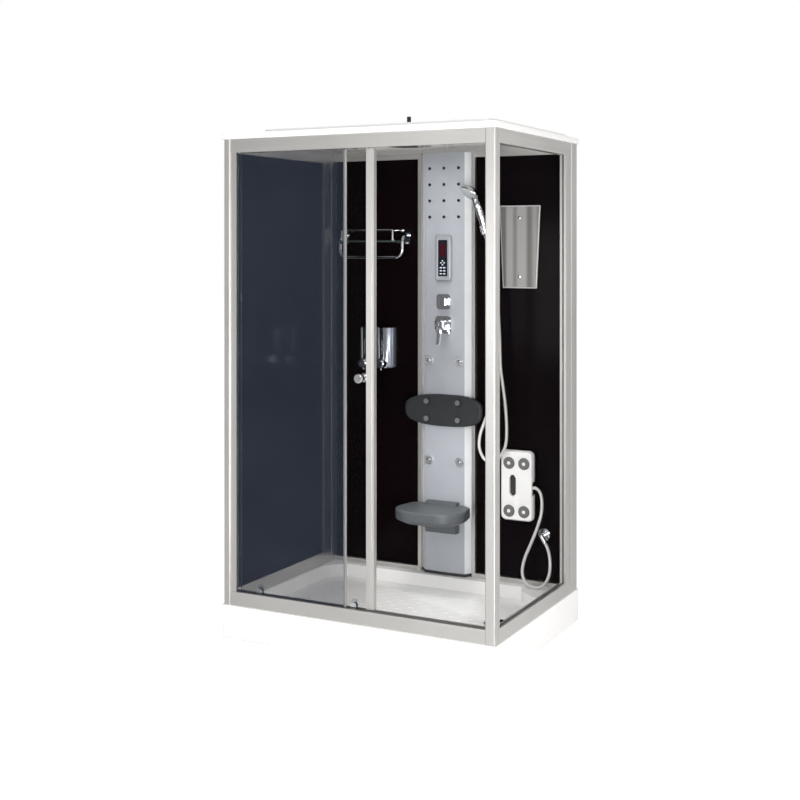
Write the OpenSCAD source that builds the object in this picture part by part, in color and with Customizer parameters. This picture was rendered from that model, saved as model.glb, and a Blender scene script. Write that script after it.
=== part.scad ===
// Shower cabin: a moulded tray and roof, an aluminium frame with tinted sliding front,
// a column of jets and valves on the back wall, a fold-up seat and two flexible hoses.

/* [Cabin] */
// Overall width of the tray and roof
cabin_w = 1270; // [1200:10:1400]
// Overall depth of the tray and roof
cabin_d = 940; // [900:10:1040]
// Height from the floor to the top of the roof rim
cabin_h = 2150; // [2050:10:2250]
// Distance of the aluminium frame in from the tray edge
frame_inset = 7; // [4:1:15]

/* [Tray] */
// Height of the tray rim above the floor
tray_h = 142; // [130:1:180]
// Wall thickness of the moulded tray
tray_wall = 5; // [4:0.5:7]
// Height of the basin floor above the floor of the room
basin_z = 92; // [88:1:110]
// Width of the rim between the tray edge and the basin at the sides
basin_side = 50; // [45:1:80]
// Width of the rim at the front
basin_front = 86; // [80:1:110]
// Width of the rim at the rear
basin_rear = 95; // [90:1:130]
// Corner radius of the basin at the rim
basin_r = 120; // [60:5:160]
// How far the basin walls lean in from rim to floor
basin_taper = 24; // [10:1:40]
// Radius of the raised deck in the rear right corner
deck_r = 162; // [100:2:200]
// Distance from the right tray edge to the middle of the waste
drain_inset = 185; // [160:5:260]
// Distance of the waste in front of the middle of the tray
drain_front = 30; // [0:5:120]
// Diameter of the hole for the waste
drain_hole_d = 90; // [85:1:95]
// Diameter of the domed waste cover
drain_cover_d = 110; // [104:1:120]
// Height to which the waste cover can be lifted
drain_lift = 50; // [20:5:80]
// Outer diameter of the waste outlet spigot
waste_d = 40; // [32:1:50]

/* [Underframe] */
// Side of the square steel tube
tube_w = 25; // [20:1:28]
// Wall of the square steel tube
tube_wall = 2; // [1.5:0.5:3]
// Diameter of a levelling foot pad
foot_d = 60; // [40:2:70]
// Thickness of a levelling foot pad
foot_h = 8; // [6:1:12]
// Diameter of the threaded stem of a foot
stem_d = 12; // [10:1:16]

/* [Frame] */
// Height of the front and side rails
rail_h = 57; // [50:1:65]
// Depth of the front rails that carry the door
track_d = 60; // [58:1:70]
// Wall thickness of the extruded sections
alu_wall = 2; // [1.5:0.25:2.5]
// Width of the front left post
post_left_w = 30; // [28:1:40]
// Width of the front right post
post_right_w = 42; // [36:1:50]
// Depth of the front posts
post_front_d = 34; // [30:1:45]
// Depth of the back posts
post_back_d = 73; // [60:1:80]
// How far the rails stand behind the post faces
rail_step = 5; // [2:1:8]
// Thickness of the side rails and of the back posts
side_w = 29; // [26:1:34]
// Depth of the side channels at the front
channel_front_d = 13; // [12:1:20]
// Depth of the side channels at the back
channel_back_d = 67; // [40:1:80]
// Width of the channel that holds the fixed front pane
fixed_channel_w = 29; // [20:1:40]

/* [Glass] */
// Thickness of the safety glass
glass_t = 6; // [5:1:8]
// Room between a pane and the sides of its groove
glass_gap = 0.3; // [0.2:0.1:0.5]
// Depth to which a pane stands in its groove
glass_bite = 9; // [7:1:10]
// Distance of the fixed pane behind the face of the front rails
fixed_set = 7; // [6:1:9]
// Distance of the door pane behind the face of the front rails
door_set = 25; // [24:1:27]
// Width of the open door that shows beside the fixed pane
door_show = 129; // [110:1:150]

/* [Door] */
// Overall width of the sliding door with its edge profile
door_w = 651; // [630:1:680]
// Gap between the open door and the left post
door_park = 37; // [30:1:120]
// Width of the edge profile of the door
profile_w = 36; // [28:1:42]
// Depth of the edge profile of the door
profile_d = 22; // [18:1:22]
// Distance of the knobs in from the leading edge of the door
knob_inset = 64; // [56:1:90]
// Height of the knobs above the floor
knob_z = 1135; // [1000:5:1200]
// Diameter of a knob
knob_d = 38; // [30:1:44]
// Length of a knob
knob_l = 27; // [20:1:30]
// Distance of the rollers in from each edge of the door
roller_inset = 97; // [90:1:140]
// Rolling diameter of a top roller, at the bottom of its groove
top_roll_d = 20; // [18:0.5:21]
// Rolling diameter of a lower roller
low_roll_d = 16; // [14:0.5:20]
// Height of the flanges beside the groove of a roller
roller_flange = 2.2; // [1.5:0.1:2.5]
// Width of a roller
roller_w = 8.6; // [7:0.1:9]
// Diameter of a roller axle
axle_d = 6; // [5:0.5:7]
// Width of the rib on which the rollers run
rib_w = 2.5; // [2:0.25:3]
// Play between an axle and its roller, measured on the radius
running_fit = 0.05; // [0.02:0.01:0.08]

/* [Column] */
// Half width of the column at the wall
tower_half = 130; // [120:1:140]
// Half width of the column face
tower_face_half = 102; // [95:1:110]
// Depth of the column from its face to its back edges
tower_depth = 43; // [38:1:50]
// Bow of the column face
tower_bow = 5; // [0:0.5:8]
// Distance from the column face to the back of the frame
tower_back = 60; // [56:1:70]
// Gap between the top of the column and the underside of the roof
tower_gap = 21; // [21:1:125]
// Wall thickness of the column
tower_wall = 2.5; // [2:0.25:3]
// Height of the black cap at the foot of the column
base_cap_h = 14; // [10:1:20]
// Width of the aluminium trims beside the column
trim_w = 17; // [12:1:22]

/* [Fittings on the column] */
// Columns of small jets
mini_cols = 3; // [2:1:4]
// Rows of small jets
mini_rows = 4; // [3:1:5]
// Spacing of the small jets across the column
mini_dx = 74; // [60:1:80]
// Spacing of the small jets up the column
mini_dz = 75.5; // [60:0.5:80]
// Distance of the lowest row of small jets below the top of the column
mini_drop = 298; // [284:2:324]
// Diameter of the flange of a small jet
mini_d = 14; // [10:1:18]
// Width of the control panel
panel_w = 84; // [70:1:100]
// Height of the control panel
panel_h = 216; // [180:1:240]
// Height of the middle of the control panel
panel_z = 1615; // [1600:1:1630]
// Thickness of the control panel
panel_t = 16; // [12:1:20]
// Width of the dark window of the panel
lens_w = 46; // [36:1:60]
// Height of the dark window of the panel
lens_h = 168; // [140:1:180]
// Width and height of the diverter plate
diverter_plate_w = 70; // [60:1:80]
// Height of the middle of the diverter
diverter_z = 1412; // [1400:1:1430]
// Side of the square diverter knob
diverter_knob_w = 38; // [30:1:44]
// Turn of the diverter to each side
diverter_turn = 135; // [90:5:150]
// Width and height of the mixer plate
mixer_plate_w = 80; // [70:1:90]
// Height of the middle of the mixer
mixer_z = 1305; // [1290:1:1320]
// Diameter of the mixer hub
mixer_hub_d = 44; // [40:1:50]
// Length of the mixer lever below the middle of the hub
lever_l = 86; // [70:1:100]
// Diameter of the mixer cartridge
cartridge_d = 30; // [28:1:32]
// Thickness of the valve plates
plate_t = 8; // [5:1:10]
// Distance between the hot and cold inlets
inlet_spacing = 76; // [70:1:80]
// Outer diameter of the inlet threads
inlet_d = 20.96; // [20:0.01:21.5]
// Length of the inlet threads
inlet_l = 14; // [10:1:14]
// Half the distance between the two columns of body jets
jet_dx = 79; // [70:1:85]
// Heights of the two rows of body jets
jet_low_z = 673; // [660:1:700]
// Height of the upper row of body jets
jet_high_z = 1138; // [1100:1:1160]
// Diameter of the flange of a body jet
jet_d = 40; // [34:1:46]
// Diameter of the swivelling ball of a body jet
jet_ball_d = 18; // [16:0.5:20]
// Swing of a body jet to each side
jet_swing = 15; // [10:1:20]

/* [Back pad] */
// Width of the back pad
pad_w = 400; // [360:2:420]
// Height of the back pad
pad_h = 150; // [130:2:170]
// Thickness of the back pad in the middle
pad_t = 24; // [20:1:34]
// Height of the middle of the back pad
pad_z = 908; // [890:2:920]
// Half the distance between the nozzles across the pad
pad_nozzle_dx = 80; // [70:1:90]
// Half the distance between the nozzles up the pad
pad_nozzle_dz = 40; // [30:1:46]
// Diameter of a pad nozzle
pad_nozzle_d = 24; // [18:1:28]

/* [Seat] */
// Width of the seat
seat_w = 340; // [300:2:360]
// Depth of the seat from its rear edge to its front
seat_d = 238; // [200:2:250]
// Height of the top of the seat
seat_z = 476; // [460:2:500]
// Thickness of the seat rim
seat_rim = 46; // [36:1:52]
// Depth of the belly below the rim
seat_belly = 22; // [10:1:28]
// Width of the seat bracket
bracket_w = 156; // [140:1:170]
// Height of the seat bracket below the hinge
bracket_h = 118; // [100:1:130]
// Radius of the hinge barrel of the bracket
barrel_r = 25; // [20:1:26]
// Diameter of the seat hinge pin
pin_d = 12; // [10:1:14]
// Length of the pin that stands in the seat at each side
pin_l = 24; // [15:1:30]
// Distance of the hinge below the top of the seat
hinge_drop = 14; // [12:1:20]
// Angle to which the seat folds up
seat_fold = 86; // [75:1:88]

/* [Shelf and dispensers] */
// Distance of the left leg of the towel rail from the middle of the cabin
shelf_left = 540; // [520:1:550]
// Distance of the right leg of the towel rail from the middle of the cabin
shelf_right = 205; // [195:1:220]
// Height of the top of the shelf glass
shelf_z = 1697; // [1680:1:1710]
// Depth of the shelf glass
shelf_d = 118; // [100:1:130]
// Thickness of the shelf glass
shelf_t = 8; // [6:1:10]
// Height of the gallery rail above the glass
gallery_h = 48; // [35:1:60]
// Diameter of the gallery rail
gallery_d = 8; // [6:1:10]
// Diameter of the towel rail
towel_d = 14; // [12:1:18]
// Drop of the towel rail below the top of the glass
towel_drop = 80; // [70:1:110]
// Distance of the towel rail legs from the wall glass
towel_reach = 65; // [55:1:75]
// Distance of the wall brackets above the top of the glass
bracket_rise = 25; // [20:1:30]
// Width of a soap dispenser
soap_w = 86; // [76:1:88]
// Height of a soap dispenser
soap_h = 192; // [170:1:210]
// Depth of a soap dispenser
soap_d = 57; // [50:1:65]
// Height of the middle of the push buttons
soap_z = 1114; // [1100:1:1130]
// Distance of the right dispenser from the middle of the cabin
soap_x = 314; // [305:1:320]
// Spacing of the two dispensers
soap_pitch = 94; // [90:1:100]
// Diameter of a push button
button_d = 35; // [28:1:38]
// Length of the nose that holds the push button
nose_l = 28; // [20:1:34]
// Travel of a push button
button_travel = 6; // [4:0.5:8]

/* [Mirror] */
// Width of the mirror at the top
mirror_top_w = 199; // [180:1:220]
// Width of the mirror at the bottom
mirror_bottom_w = 167; // [150:1:190]
// Height of the mirror
mirror_h = 375; // [340:1:400]
// Thickness of the mirror
mirror_t = 6; // [5:1:8]
// Distance of the mirror from the middle of the cabin
mirror_x = 366; // [355:1:380]
// Height of the middle of the mirror
mirror_z = 1667; // [1650:1:1680]

/* [Hand shower] */
// Diameter of the hand shower head
head_d = 86; // [75:1:95]
// Thickness of the hand shower head
head_t = 20; // [16:1:24]
// Diameter of the hand shower handle
handle_d = 24; // [20:1:28]
// Distance of the holder from the middle of the cabin
holder_x = 226; // [215:1:240]
// Height of the holder
holder_z = 1745; // [1730:1:1760]
// Distance of the holder pivot from the wall glass
holder_reach = 62; // [55:1:70]
// Tilt of the holder to each side
holder_tilt = 15; // [10:1:20]
// Diameter of the hoses
hose_d = 14; // [12:1:16]

/* [Foot massager] */
// Width of the massager
massager_w = 156; // [150:1:170]
// Height of the massager
massager_h = 316; // [280:1:320]
// Thickness of the massager shell
massager_t = 26; // [20:1:32]
// Thickness of the box behind the shell
massager_box_t = 24; // [18:1:30]
// Distance of the massager from the middle of the cabin
massager_x = 367; // [350:1:380]
// Height of the middle of the massager
massager_z = 590; // [570:1:600]
// Diameter of a massage disc
disc_d = 54; // [44:1:58]

/* [Roof] */
// Height of the roof rim
roof_rim = 25; // [20:1:40]
// Thickness of the roof skin
roof_wall = 4; // [3:0.5:5]
// Rise of the middle of the roof above the rim
roof_rise = 12; // [0:1:20]
// Diameter of the rain head
rain_d = 200; // [160:5:240]
// Thickness of the rain head
rain_t = 14; // [10:1:18]
// Height of the black inlet union above the roof
inlet_rise = 78; // [40:1:90]
// Diameter of the fan opening
fan_d = 104; // [90:1:120]
// Number of fan blades
fan_blades = 7; // [5:1:9]

/* [Hidden] */
$fn = 48;

// Clearance between pieces that don't touch
play = 0.3;
// How far a cutting body stands out of what it cuts
over = 1;

// Frame planes
x_edge = cabin_w / 2;
y_edge = cabin_d / 2;
x_out = x_edge - frame_inset;
y_out = y_edge - frame_inset;
frame_top = cabin_h - roof_rim;
rail_low = tray_h + rail_h;
rail_high = frame_top - rail_h;
rail_y = -y_out + rail_step;
track_back = rail_y + track_d;
post_front_y = -y_out + post_front_d;
post_back_y = y_out - post_back_d;
left_post_x = -x_out + post_left_w;
right_post_x = x_out - post_right_w;
side_in = x_out - side_w;
side_pane_x = x_out - side_w / 2;

// Front panes and door
fixed_y = rail_y + fixed_set;
door_y = rail_y + door_set;
door_back = door_y + glass_t;
fixed_left = left_post_x + fixed_channel_w;
strip_t = 8;
door_left = left_post_x + door_park;
door_right = door_left + door_w;
fixed_right = door_right - door_show;
profile_left = door_right - profile_w;
pane_low = tray_h + alu_wall + play;
pane_high = frame_top - 8;
gasket_h = 9;
door_low = rail_low - 19;
door_high = rail_high + 24;
edge_low = rail_low + 4;
edge_high = rail_high - 4;
roller_x = [door_left + roller_inset, door_right - roller_inset];

// Running ribs of the front tracks
rib_set = 38;
pane_rib_set = 16;
top_rib_drop = 26;
top_shelf_drop = 30;
low_lip_h = 58;
rib_y = rail_y + rib_set + rib_w / 2;
top_roller_z = frame_top - top_rib_drop + play + top_roll_d / 2;
low_roller_z = tray_h + low_lip_h + play + low_roll_d / 2;
groove_w = rib_w + 0.8;
bolt_d = 14;
hanger_t = 3;
hanger_y = door_back;
clamp_z = rail_high + 10;
axle_end = rib_y + roller_w / 2 + 2;
knob_x = door_right - knob_inset;
knob_hole_d = 8;

// Back wall
wall_set = 23;
wall_y = y_out - wall_set;
wall_face = wall_y - play;
back_rail_d = 45;
back_rail_h = 22;
back_lip_h = 44;
back_y = y_out - back_rail_d;
trim_in = tower_half;
trim_out = tower_half + trim_w;
trim_front = wall_y - 15;
trim_back = wall_y + 10;
wall_pane_z = [tray_h + 12, frame_top - 12];
back_top_h = 19;

// Column
tower_y = y_out - tower_back;
tower_rear = tower_y + tower_depth;
tower_foot = tray_h + base_cap_h;
tower_top = frame_top - tower_gap;
mount_y = tower_y - play;
supply_y = tower_rear - 14;
pipe_r = 7;

// Height across the column face at a distance from its middle
function tower_face(x) = tower_y + tower_bow * pow(x / tower_face_half, 2);
function tower_arc(set, half) =
    [for (i = [0:12]) let (x = half * (i / 6 - 1)) [x, tower_face(x) + set]];
function tower_outline(set, rear) = concat([[-tower_half + set, rear]],
    tower_arc(set, tower_face_half - set / 2), [[tower_half - set, rear]]);

// Fittings
mini_x = [for (i = [0:mini_cols - 1]) (i - (mini_cols - 1) / 2) * mini_dx];
mini_h = [for (i = [0:mini_rows - 1]) tower_top - mini_drop + i * mini_dz];
mini_barrel_d = 8;
mini_feed_d = 10;
mini_feed_y = tower_y + 17;
jet_places = [[-jet_dx, jet_high_z], [jet_dx, jet_high_z], [-jet_dx, jet_low_z], [jet_dx, jet_low_z]];
jet_back = tower_face(jet_dx - jet_d / 2) - play;
jet_flange_t = 7;
jet_ball_y = jet_back - jet_flange_t + jet_ball_d / 2 - 5;
jet_tail_d = jet_ball_d + 6;
jet_tail_end = supply_y - pipe_r - play;
pad_places = [for (x = [-1, 1], z = [-1, 1]) [x * pad_nozzle_dx, pad_z + z * pad_nozzle_dz]];
pad_tail_d = 10;
lens_t = 3;
panel_front = mount_y - panel_t;
plate_front = mount_y - plate_t;
hub_front = plate_front - 45;
hub_rear = plate_front - play;
lever_pivot_y = hub_front + 10;
bore_end = lever_pivot_y + 14;
inlet_end = y_out + 3;
diverter_body_d = 36;
lever_t = 8;
lever_pin_d = 5;
spindle_d = 16;
knob_front = plate_front - 28;

// Seat hinge
hinge_y = mount_y - barrel_r;
hinge_z = seat_z - hinge_drop;
bracket_front = hinge_y - barrel_r;
seat_rear = hinge_y + 14;
seat_front = seat_rear - seat_d;
seat_low = seat_z - seat_rim;
seat_front_r = 112;
seat_rear_r = 50;

// Shelf
shelf_top = shelf_z;
towel_y = wall_y - towel_reach;
towel_z = shelf_top - towel_drop;
bracket_z = shelf_top + bracket_rise;
gallery_z = shelf_top + gallery_h;
gallery_y = wall_y - shelf_d;
glass_left = -shelf_left + towel_d / 2 + play;
glass_right = -shelf_right - towel_d / 2 - play;
gallery_in = 30;
bracket_t = 8;

// Dispensers
soap_low = soap_z - 24;
soap_front = wall_face - soap_d;
nose_front = soap_front - nose_l;
button_front = nose_front - 15;
button_l = 34;
soap_places = [-soap_x - soap_pitch, -soap_x];

// Hand shower, held on the line of its handle
pivot_y = wall_y - holder_reach;
cup_y = pivot_y - 24;
handle_tilt = [11, -11.7, 0];
head_turn = [-33, 32, 0];
head_at = [-56, -34, 170];
nut_low = -60;
holder_pin_d = 6;

// Massager
massager_back = wall_face;
massager_front = wall_face - massager_box_t - massager_t;
disc_dx = 36;
disc_dz = 108;
disc_drop = 7;
disc_sink = 6;
disc_places = [for (x = [-1, 1], z = [-1, 1]) [massager_x + x * disc_dx, massager_z - disc_drop + z * disc_dz]];
notch_z = massager_z - 9;
notch_h = 60;
gland_set = 13.3;
gland_rise = 4;

// Wall elbows: distance across, height, turn of the outlet
elbow_reach = 42;
elbow_1 = [230, 982, 0];
elbow_2 = [485, 374, -30];
elbow_drop = 34;
rosette_d = 56;
pane_hole_d = 20;
rear_pipe_r = 6;
rear_pipe_y = wall_y + glass_t + rear_pipe_r + 4;

// Roof
roof_top = cabin_h;
ceiling_z = roof_top + roof_rise - roof_wall;
union_d = 18;
over_roof_z = roof_top + roof_rise + 12;
rain_z = frame_top - 16;
rain_y = 45;
fan_x = -330;
fan_y = 60;
fan_hub_d = 26;
fan_gap = 4;
fan_low = frame_top + 4;

// Routes of the hoses, chosen by hand
shower_route = [[238.3, 365.5, 1686.6], [241, 368, 1674], [246, 371, 1648], [254, 374, 1600], [264, 376, 1540],
    [273, 377, 1470], [281, 377, 1400], [287, 376, 1330], [291, 376, 1260], [293, 376, 1190],
    [296, 376, 1120], [304, 376, 1060], [313, 376, 1000], [320, 376, 940], [325, 375, 880],
    [326, 375, 830], [323, 374, 782], [312, 373, 746], [287, 372, 711], [255, 372, 688],
    [222, 373, 699], [202, 375, 722], [189, 379, 758], [190, 386, 806], [202, 393, 850],
    [216, 397, 890], [227, 398, 922], [230, 398, 936], [230, 398, 948]];
massager_route = [[440, 403, 585], [454, 403, 585], [470, 402, 576], [481, 401, 556], [486, 399, 530],
    [487, 396, 500], [484, 393, 468], [476, 389, 436], [466, 386, 405], [450, 381, 362],
    [433, 377, 320], [419, 373, 286], [409, 371, 252], [404, 369, 218], [408, 368, 190],
    [422, 367, 166], [446, 366, 152], [474, 367, 150], [499, 371, 159], [517, 376, 182],
    [528, 381, 214], [530, 386, 250], [526, 391, 285], [518, 395, 313], [509, 398, 332],
    [502, 398, 344]];
gland_x = massager_route[0][0] - play;
hose_sides = 10;

// Box between two corners
module bar(a, b) {
    translate(a) cube(b - a);
}

// Round bar along Y between two depths
module rod_y(x, z, y0, y1, d) {
    translate([x, y1, z]) rotate([90, 0, 0]) cylinder(d = d, h = y1 - y0);
}

// Round bar along X
module rod_x(x0, x1, y, z, d) {
    translate([x0, y, z]) rotate([0, 90, 0]) cylinder(d = d, h = x1 - x0);
}

// Rectangle with true round corners, middle at the origin
module rounded(w, h, r) {
    square([w - 2 * r, h], center = true);
    square([w, h - 2 * r], center = true);
    for (x = [-1, 1], y = [-1, 1]) translate([x * (w / 2 - r), y * (h / 2 - r)]) circle(r = r);
}

// Plate facing -Y with round corners, between two depths
module face_plate(x, z, w, h, r, y0, y1) {
    translate([x, y1, z]) rotate([90, 0, 0]) linear_extrude(y1 - y0) rounded(w, h, r);
}

// Section drawn in Y and Z, drawn out along X
module along_x(x0, x1) {
    translate([x0, 0, 0]) rotate([90, 0, 90]) linear_extrude(x1 - x0) children();
}

// Both sides of the cabin
module both_sides() {
    children();
    mirror([1, 0, 0]) children();
}

// Points of a smooth curve through the route, with one ring added in each span
function midpoint(p, i) = let (a = p[max(i - 1, 0)], d = p[min(i + 2, len(p) - 1)])
    (9 * (p[i] + p[i + 1]) - a - d) / 16;
function finer(p) = [for (i = [0:len(p) - 1]) each i < len(p) - 1
    && norm(p[i + 1] - p[i]) > 60 ? [p[i], midpoint(p, i)] : [p[i]]];
function unit(v) = v / norm(v);
function heading(p, i) = unit(p[min(i + 1, len(p) - 1)] - p[max(i - 1, 0)]);

// Tube swept along a route as one body, its ends square to the route
module hose(route) {
    p = finer(route);
    n = hose_sides;
    ring = [for (i = [0:len(p) - 1]) let (t = heading(p, i), u = unit(cross([0, 1, 0], t)), v = cross(t, u))
        for (k = [0:n - 1]) p[i] + hose_d / 2 * (cos(360 * k / n) * u + sin(360 * k / n) * v)];
    last = (len(p) - 1) * n;
    side = [for (i = [0:len(p) - 2], k = [0:n - 1]) let (a = i * n + k, b = i * n + (k + 1) % n)
        each [[a, a + n, b + n], [a, b + n, b]]];
    ends = [for (k = [1:n - 2]) each [[0, k, k + 1], [last, last + k + 1, last + k]]];
    polyhedron(points = ring, faces = concat(side, ends), convexity = 6);
}

// Tapering well of the basin, grown outwards by the wall, less the corner deck
module basin_well(grow) {
    low = basin_z - grow;
    x0 = -x_edge + basin_side + basin_r;
    y0 = -y_edge + basin_front + basin_r;
    y1 = y_edge - basin_rear - basin_r;
    difference() {
        hull()
            for (x = [x0, -x0], y = [y0, y1])
                translate([x, y, low])
                    cylinder(r1 = basin_r - basin_taper + grow, r2 = basin_r + grow, h = tray_h + over - low, $fn = 32);
        translate([x_edge - basin_side - 24, y_edge - basin_rear + 25, low - over])
            cylinder(r = deck_r - grow, h = tray_h - low + 3 * over, $fn = 64);
    }
}

module tray() color("white") {
    foot_gap = 4;
    pipe_gap = 60;
    difference() {
        union() {
            difference() {
                translate([0, 0, foot_gap]) linear_extrude(tray_h - foot_gap) rounded(cabin_w, cabin_d, 8);
                translate([0, 0, foot_gap - over]) linear_extrude(tray_h - tray_wall - foot_gap + over)
                    rounded(cabin_w - 2 * tray_wall, cabin_d - 2 * tray_wall, 8 - tray_wall / 2);
            }
            intersection() {
                basin_well(tray_wall);
                bar([-x_edge, -y_edge, 0], [x_edge, y_edge, tray_h - tray_wall / 2]);
            }
        }
        basin_well(0);
        translate([drain_x, -drain_front, 0]) cylinder(d = drain_hole_d, h = tray_h);
        // Way out for the waste pipe at the back
        bar([drain_x - pipe_gap, y_edge - 2 * tray_wall, 0], [drain_x + pipe_gap, y_edge + over, basin_z - 12]);
    }
}

module steel_tube_x(x0, x1, y, z) {
    difference() {
        bar([x0, y - tube_w / 2, z], [x1, y + tube_w / 2, z + tube_w]);
        bar([x0 - over, y - tube_w / 2 + tube_wall, z + tube_wall],
            [x1 + over, y + tube_w / 2 - tube_wall, z + tube_w - tube_wall]);
    }
}

module steel_tube_y(x, y0, y1, z) {
    translate([x, 0, 0]) rotate([0, 0, 90]) steel_tube_x(y0, y1, 0, z);
}

frame_y = [-y_edge + basin_front + 14, y_edge - basin_rear - 45];
frame_x = x_edge - basin_side - 37;
frame_z = basin_z - tray_wall - tube_w;
foot_x = [-frame_x + tube_w, 0, frame_x - tube_w];

module support_frame() color("lightslategray") {
    for (y = frame_y) steel_tube_x(-frame_x - tube_w / 2, frame_x + tube_w / 2, y, frame_z);
    for (x = [-frame_x, -170, 130, frame_x])
        steel_tube_y(x, frame_y[0] + tube_w / 2, frame_y[1] - tube_w / 2, frame_z);
}

module levelling_feet() color("dimgray")
    for (x = foot_x, y = frame_y) translate([x, y, 0]) {
        cylinder(d1 = foot_d, d2 = foot_d - 6, h = foot_h);
        cylinder(d = stem_d, h = frame_z);
        translate([0, 0, frame_z - 10]) cylinder(d = stem_d + 10, h = 10, $fn = 6);
        translate([0, 0, foot_h]) cylinder(d = stem_d + 10, h = 8, $fn = 6);
    }

waste_body_d = drain_hole_d - 8;
waste_z = 37;
waste_low = waste_z - waste_d / 2 - 4;
spigot_l = 50;
// Shoulder that stops the waste hose
shoulder = 3;
drain_x = x_edge - drain_inset;

module waste_trap() color("gainsboro")
    translate([drain_x, -drain_front, 0]) difference() {
        union() {
            translate([0, 0, waste_low]) cylinder(d = waste_body_d, h = basin_z - waste_low + 1);
            translate([0, 0, basin_z]) cylinder(d = drain_cover_d, h = 2);
            translate([0, 0, basin_z - tray_wall - 6]) cylinder(d = drain_hole_d + 10, h = 6);
            translate([0, 0, waste_z]) rotate([-90, 0, 0]) {
                cylinder(d = waste_d, h = waste_body_d / 2 + shoulder + spigot_l);
                cylinder(d = waste_d + 8, h = waste_body_d / 2 + shoulder);
            }
        }
        translate([0, 0, waste_low + 3]) cylinder(d = waste_body_d - 6, h = basin_z);
        translate([0, 0, waste_z]) rotate([-90, 0, 0]) cylinder(d = waste_d - 5, h = waste_body_d + spigot_l);
    }

module drain_cover() color("silver")
    translate([drain_x, -drain_front, basin_z + 2 + play]) {
        rotate_extrude() polygon(concat([[0, 0], [drain_cover_d / 2 - 3, 0], [drain_cover_d / 2 - 2, 2.5]],
            [for (a = [15:15:90]) [(drain_cover_d / 2 - 2) * cos(a), 2.5 + 7 * sin(a)]]));
        for (a = [0:120:240]) rotate([0, 0, a])
            bar([waste_body_d / 2 - 7, -4, -20], [waste_body_d / 2 - 3 - play, 4, 0.5]);
    }

// Hollow extruded post with a rounded outer corner
module post(x0, y0, x1, y1) {
    r = 5;
    translate([(x0 + x1) / 2, (y0 + y1) / 2, tray_h]) linear_extrude(frame_top - tray_h) difference() {
        rounded(x1 - x0, y1 - y0, r);
        rounded(x1 - x0 - 2 * alu_wall, y1 - y0 - 2 * alu_wall, r - alu_wall);
    }
}

module corner_posts() color("lightgray") {
    post(-x_out, -y_out, left_post_x, post_front_y);
    post(right_post_x, -y_out, x_out, post_front_y);
    post(-x_out, post_back_y, -side_in, y_out);
    post(side_in, post_back_y, x_out, y_out);
}

// Wall of a section from depth and height to depth and height
module web(d0, h0, d1, h1) {
    translate([d0, h0]) square([d1 - d0, h1 - h0]);
}

// Front track seen from its right end, depth behind the rail face and height above the frame's end
module track_section(upper) {
    web(0, 0, alu_wall, rail_h);
    web(0, 0, track_d, alu_wall);
    web(pane_rib_set, 0, pane_rib_set + alu_wall, rail_h);
    if (upper) {
        web(rib_set, top_rib_drop, rib_set + rib_w, top_shelf_drop);
        web(rib_set, top_shelf_drop, track_d, top_shelf_drop + alu_wall);
        web(track_d - alu_wall, 0, track_d, top_shelf_drop + alu_wall);
    } else {
        web(rib_set, 0, rib_set + rib_w, low_lip_h);
        web(track_d - alu_wall, 0, track_d, rail_h / 3);
    }
}

module door_track_top() color("gainsboro")
    translate([0, rail_y, frame_top]) mirror([0, 0, 1]) along_x(left_post_x, right_post_x) track_section(true);

module door_track_bottom() color("gainsboro")
    translate([0, rail_y, tray_h]) along_x(left_post_x, right_post_x) track_section(false);

// Side rail section: width across X, height above the frame's end, groove for the pane
module side_rail_section() {
    groove = glass_t + 2 * glass_gap;
    difference() {
        square([side_w, rail_h]);
        translate([alu_wall, alu_wall]) square([side_w - 2 * alu_wall, rail_h - glass_bite - 3 * alu_wall - play]);
        translate([(side_w - groove) / 2, rail_h - glass_bite - play]) square([groove, glass_bite + over]);
    }
}

module side_rail() {
    translate([side_in, post_back_y, tray_h]) rotate([90, 0, 0])
        linear_extrude(post_back_y - post_front_y) side_rail_section();
}

module side_rails() color("gainsboro") both_sides() {
    side_rail();
    translate([0, 0, frame_top + tray_h]) mirror([0, 0, 1]) side_rail();
}

// Upright channel for a side pane; the groove faces the pane
module side_channel(y0, y1, faces_back) {
    groove = glass_t + 2 * glass_gap;
    translate([0, 0, rail_low]) linear_extrude(rail_high - rail_low) difference() {
        translate([side_in, y0]) square([side_w, y1 - y0]);
        translate([side_pane_x - groove / 2, faces_back ? y1 - glass_bite - play : y0 - over])
            square([groove, glass_bite + play + over]);
        if (y1 - y0 > 40) {
            translate([x_out - 3, y1 - 26]) square([3 + over, 7]);
            translate([side_in + alu_wall, y0 + glass_bite + 2 * alu_wall])
                square([side_w - 5 - alu_wall, y1 - y0 - glass_bite - 3 * alu_wall]);
        }
    }
}

module glazing_channels() color("silver") {
    both_sides() {
        side_channel(post_front_y, post_front_y + channel_front_d, true);
        side_channel(post_back_y - channel_back_d, post_back_y, false);
    }
    // Channel of the fixed front pane beside the left post, with its front leg set back
    difference() {
        bar([left_post_x, rail_y + alu_wall + play, rail_low], [fixed_left, fixed_y + glass_t + 4, rail_high]);
        bar([fixed_left - glass_bite - play, fixed_y - glass_gap, rail_low - over],
            [fixed_left + over, fixed_y + glass_t + glass_gap, rail_high + over]);
    }
}

module side_pane() {
    bar([side_pane_x - glass_t / 2, post_front_y + channel_front_d - glass_bite, rail_low - glass_bite],
        [side_pane_x + glass_t / 2, post_back_y - channel_back_d + glass_bite, rail_high + glass_bite]);
}

module side_glass() color("lightcyan", 0.4) side_pane();

module wall_glass() color([0.07, 0.08, 0.1]) {
    mirror([1, 0, 0]) side_pane();
    difference() {
        both_sides() bar([trim_out + play, wall_y, wall_pane_z[0]], [side_in - play, wall_y + glass_t, wall_pane_z[1]]);
        for (e = [elbow_1, elbow_2]) rod_y(e[0], e[1], wall_y - over, wall_y + glass_t + over, pane_hole_d);
    }
}

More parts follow.
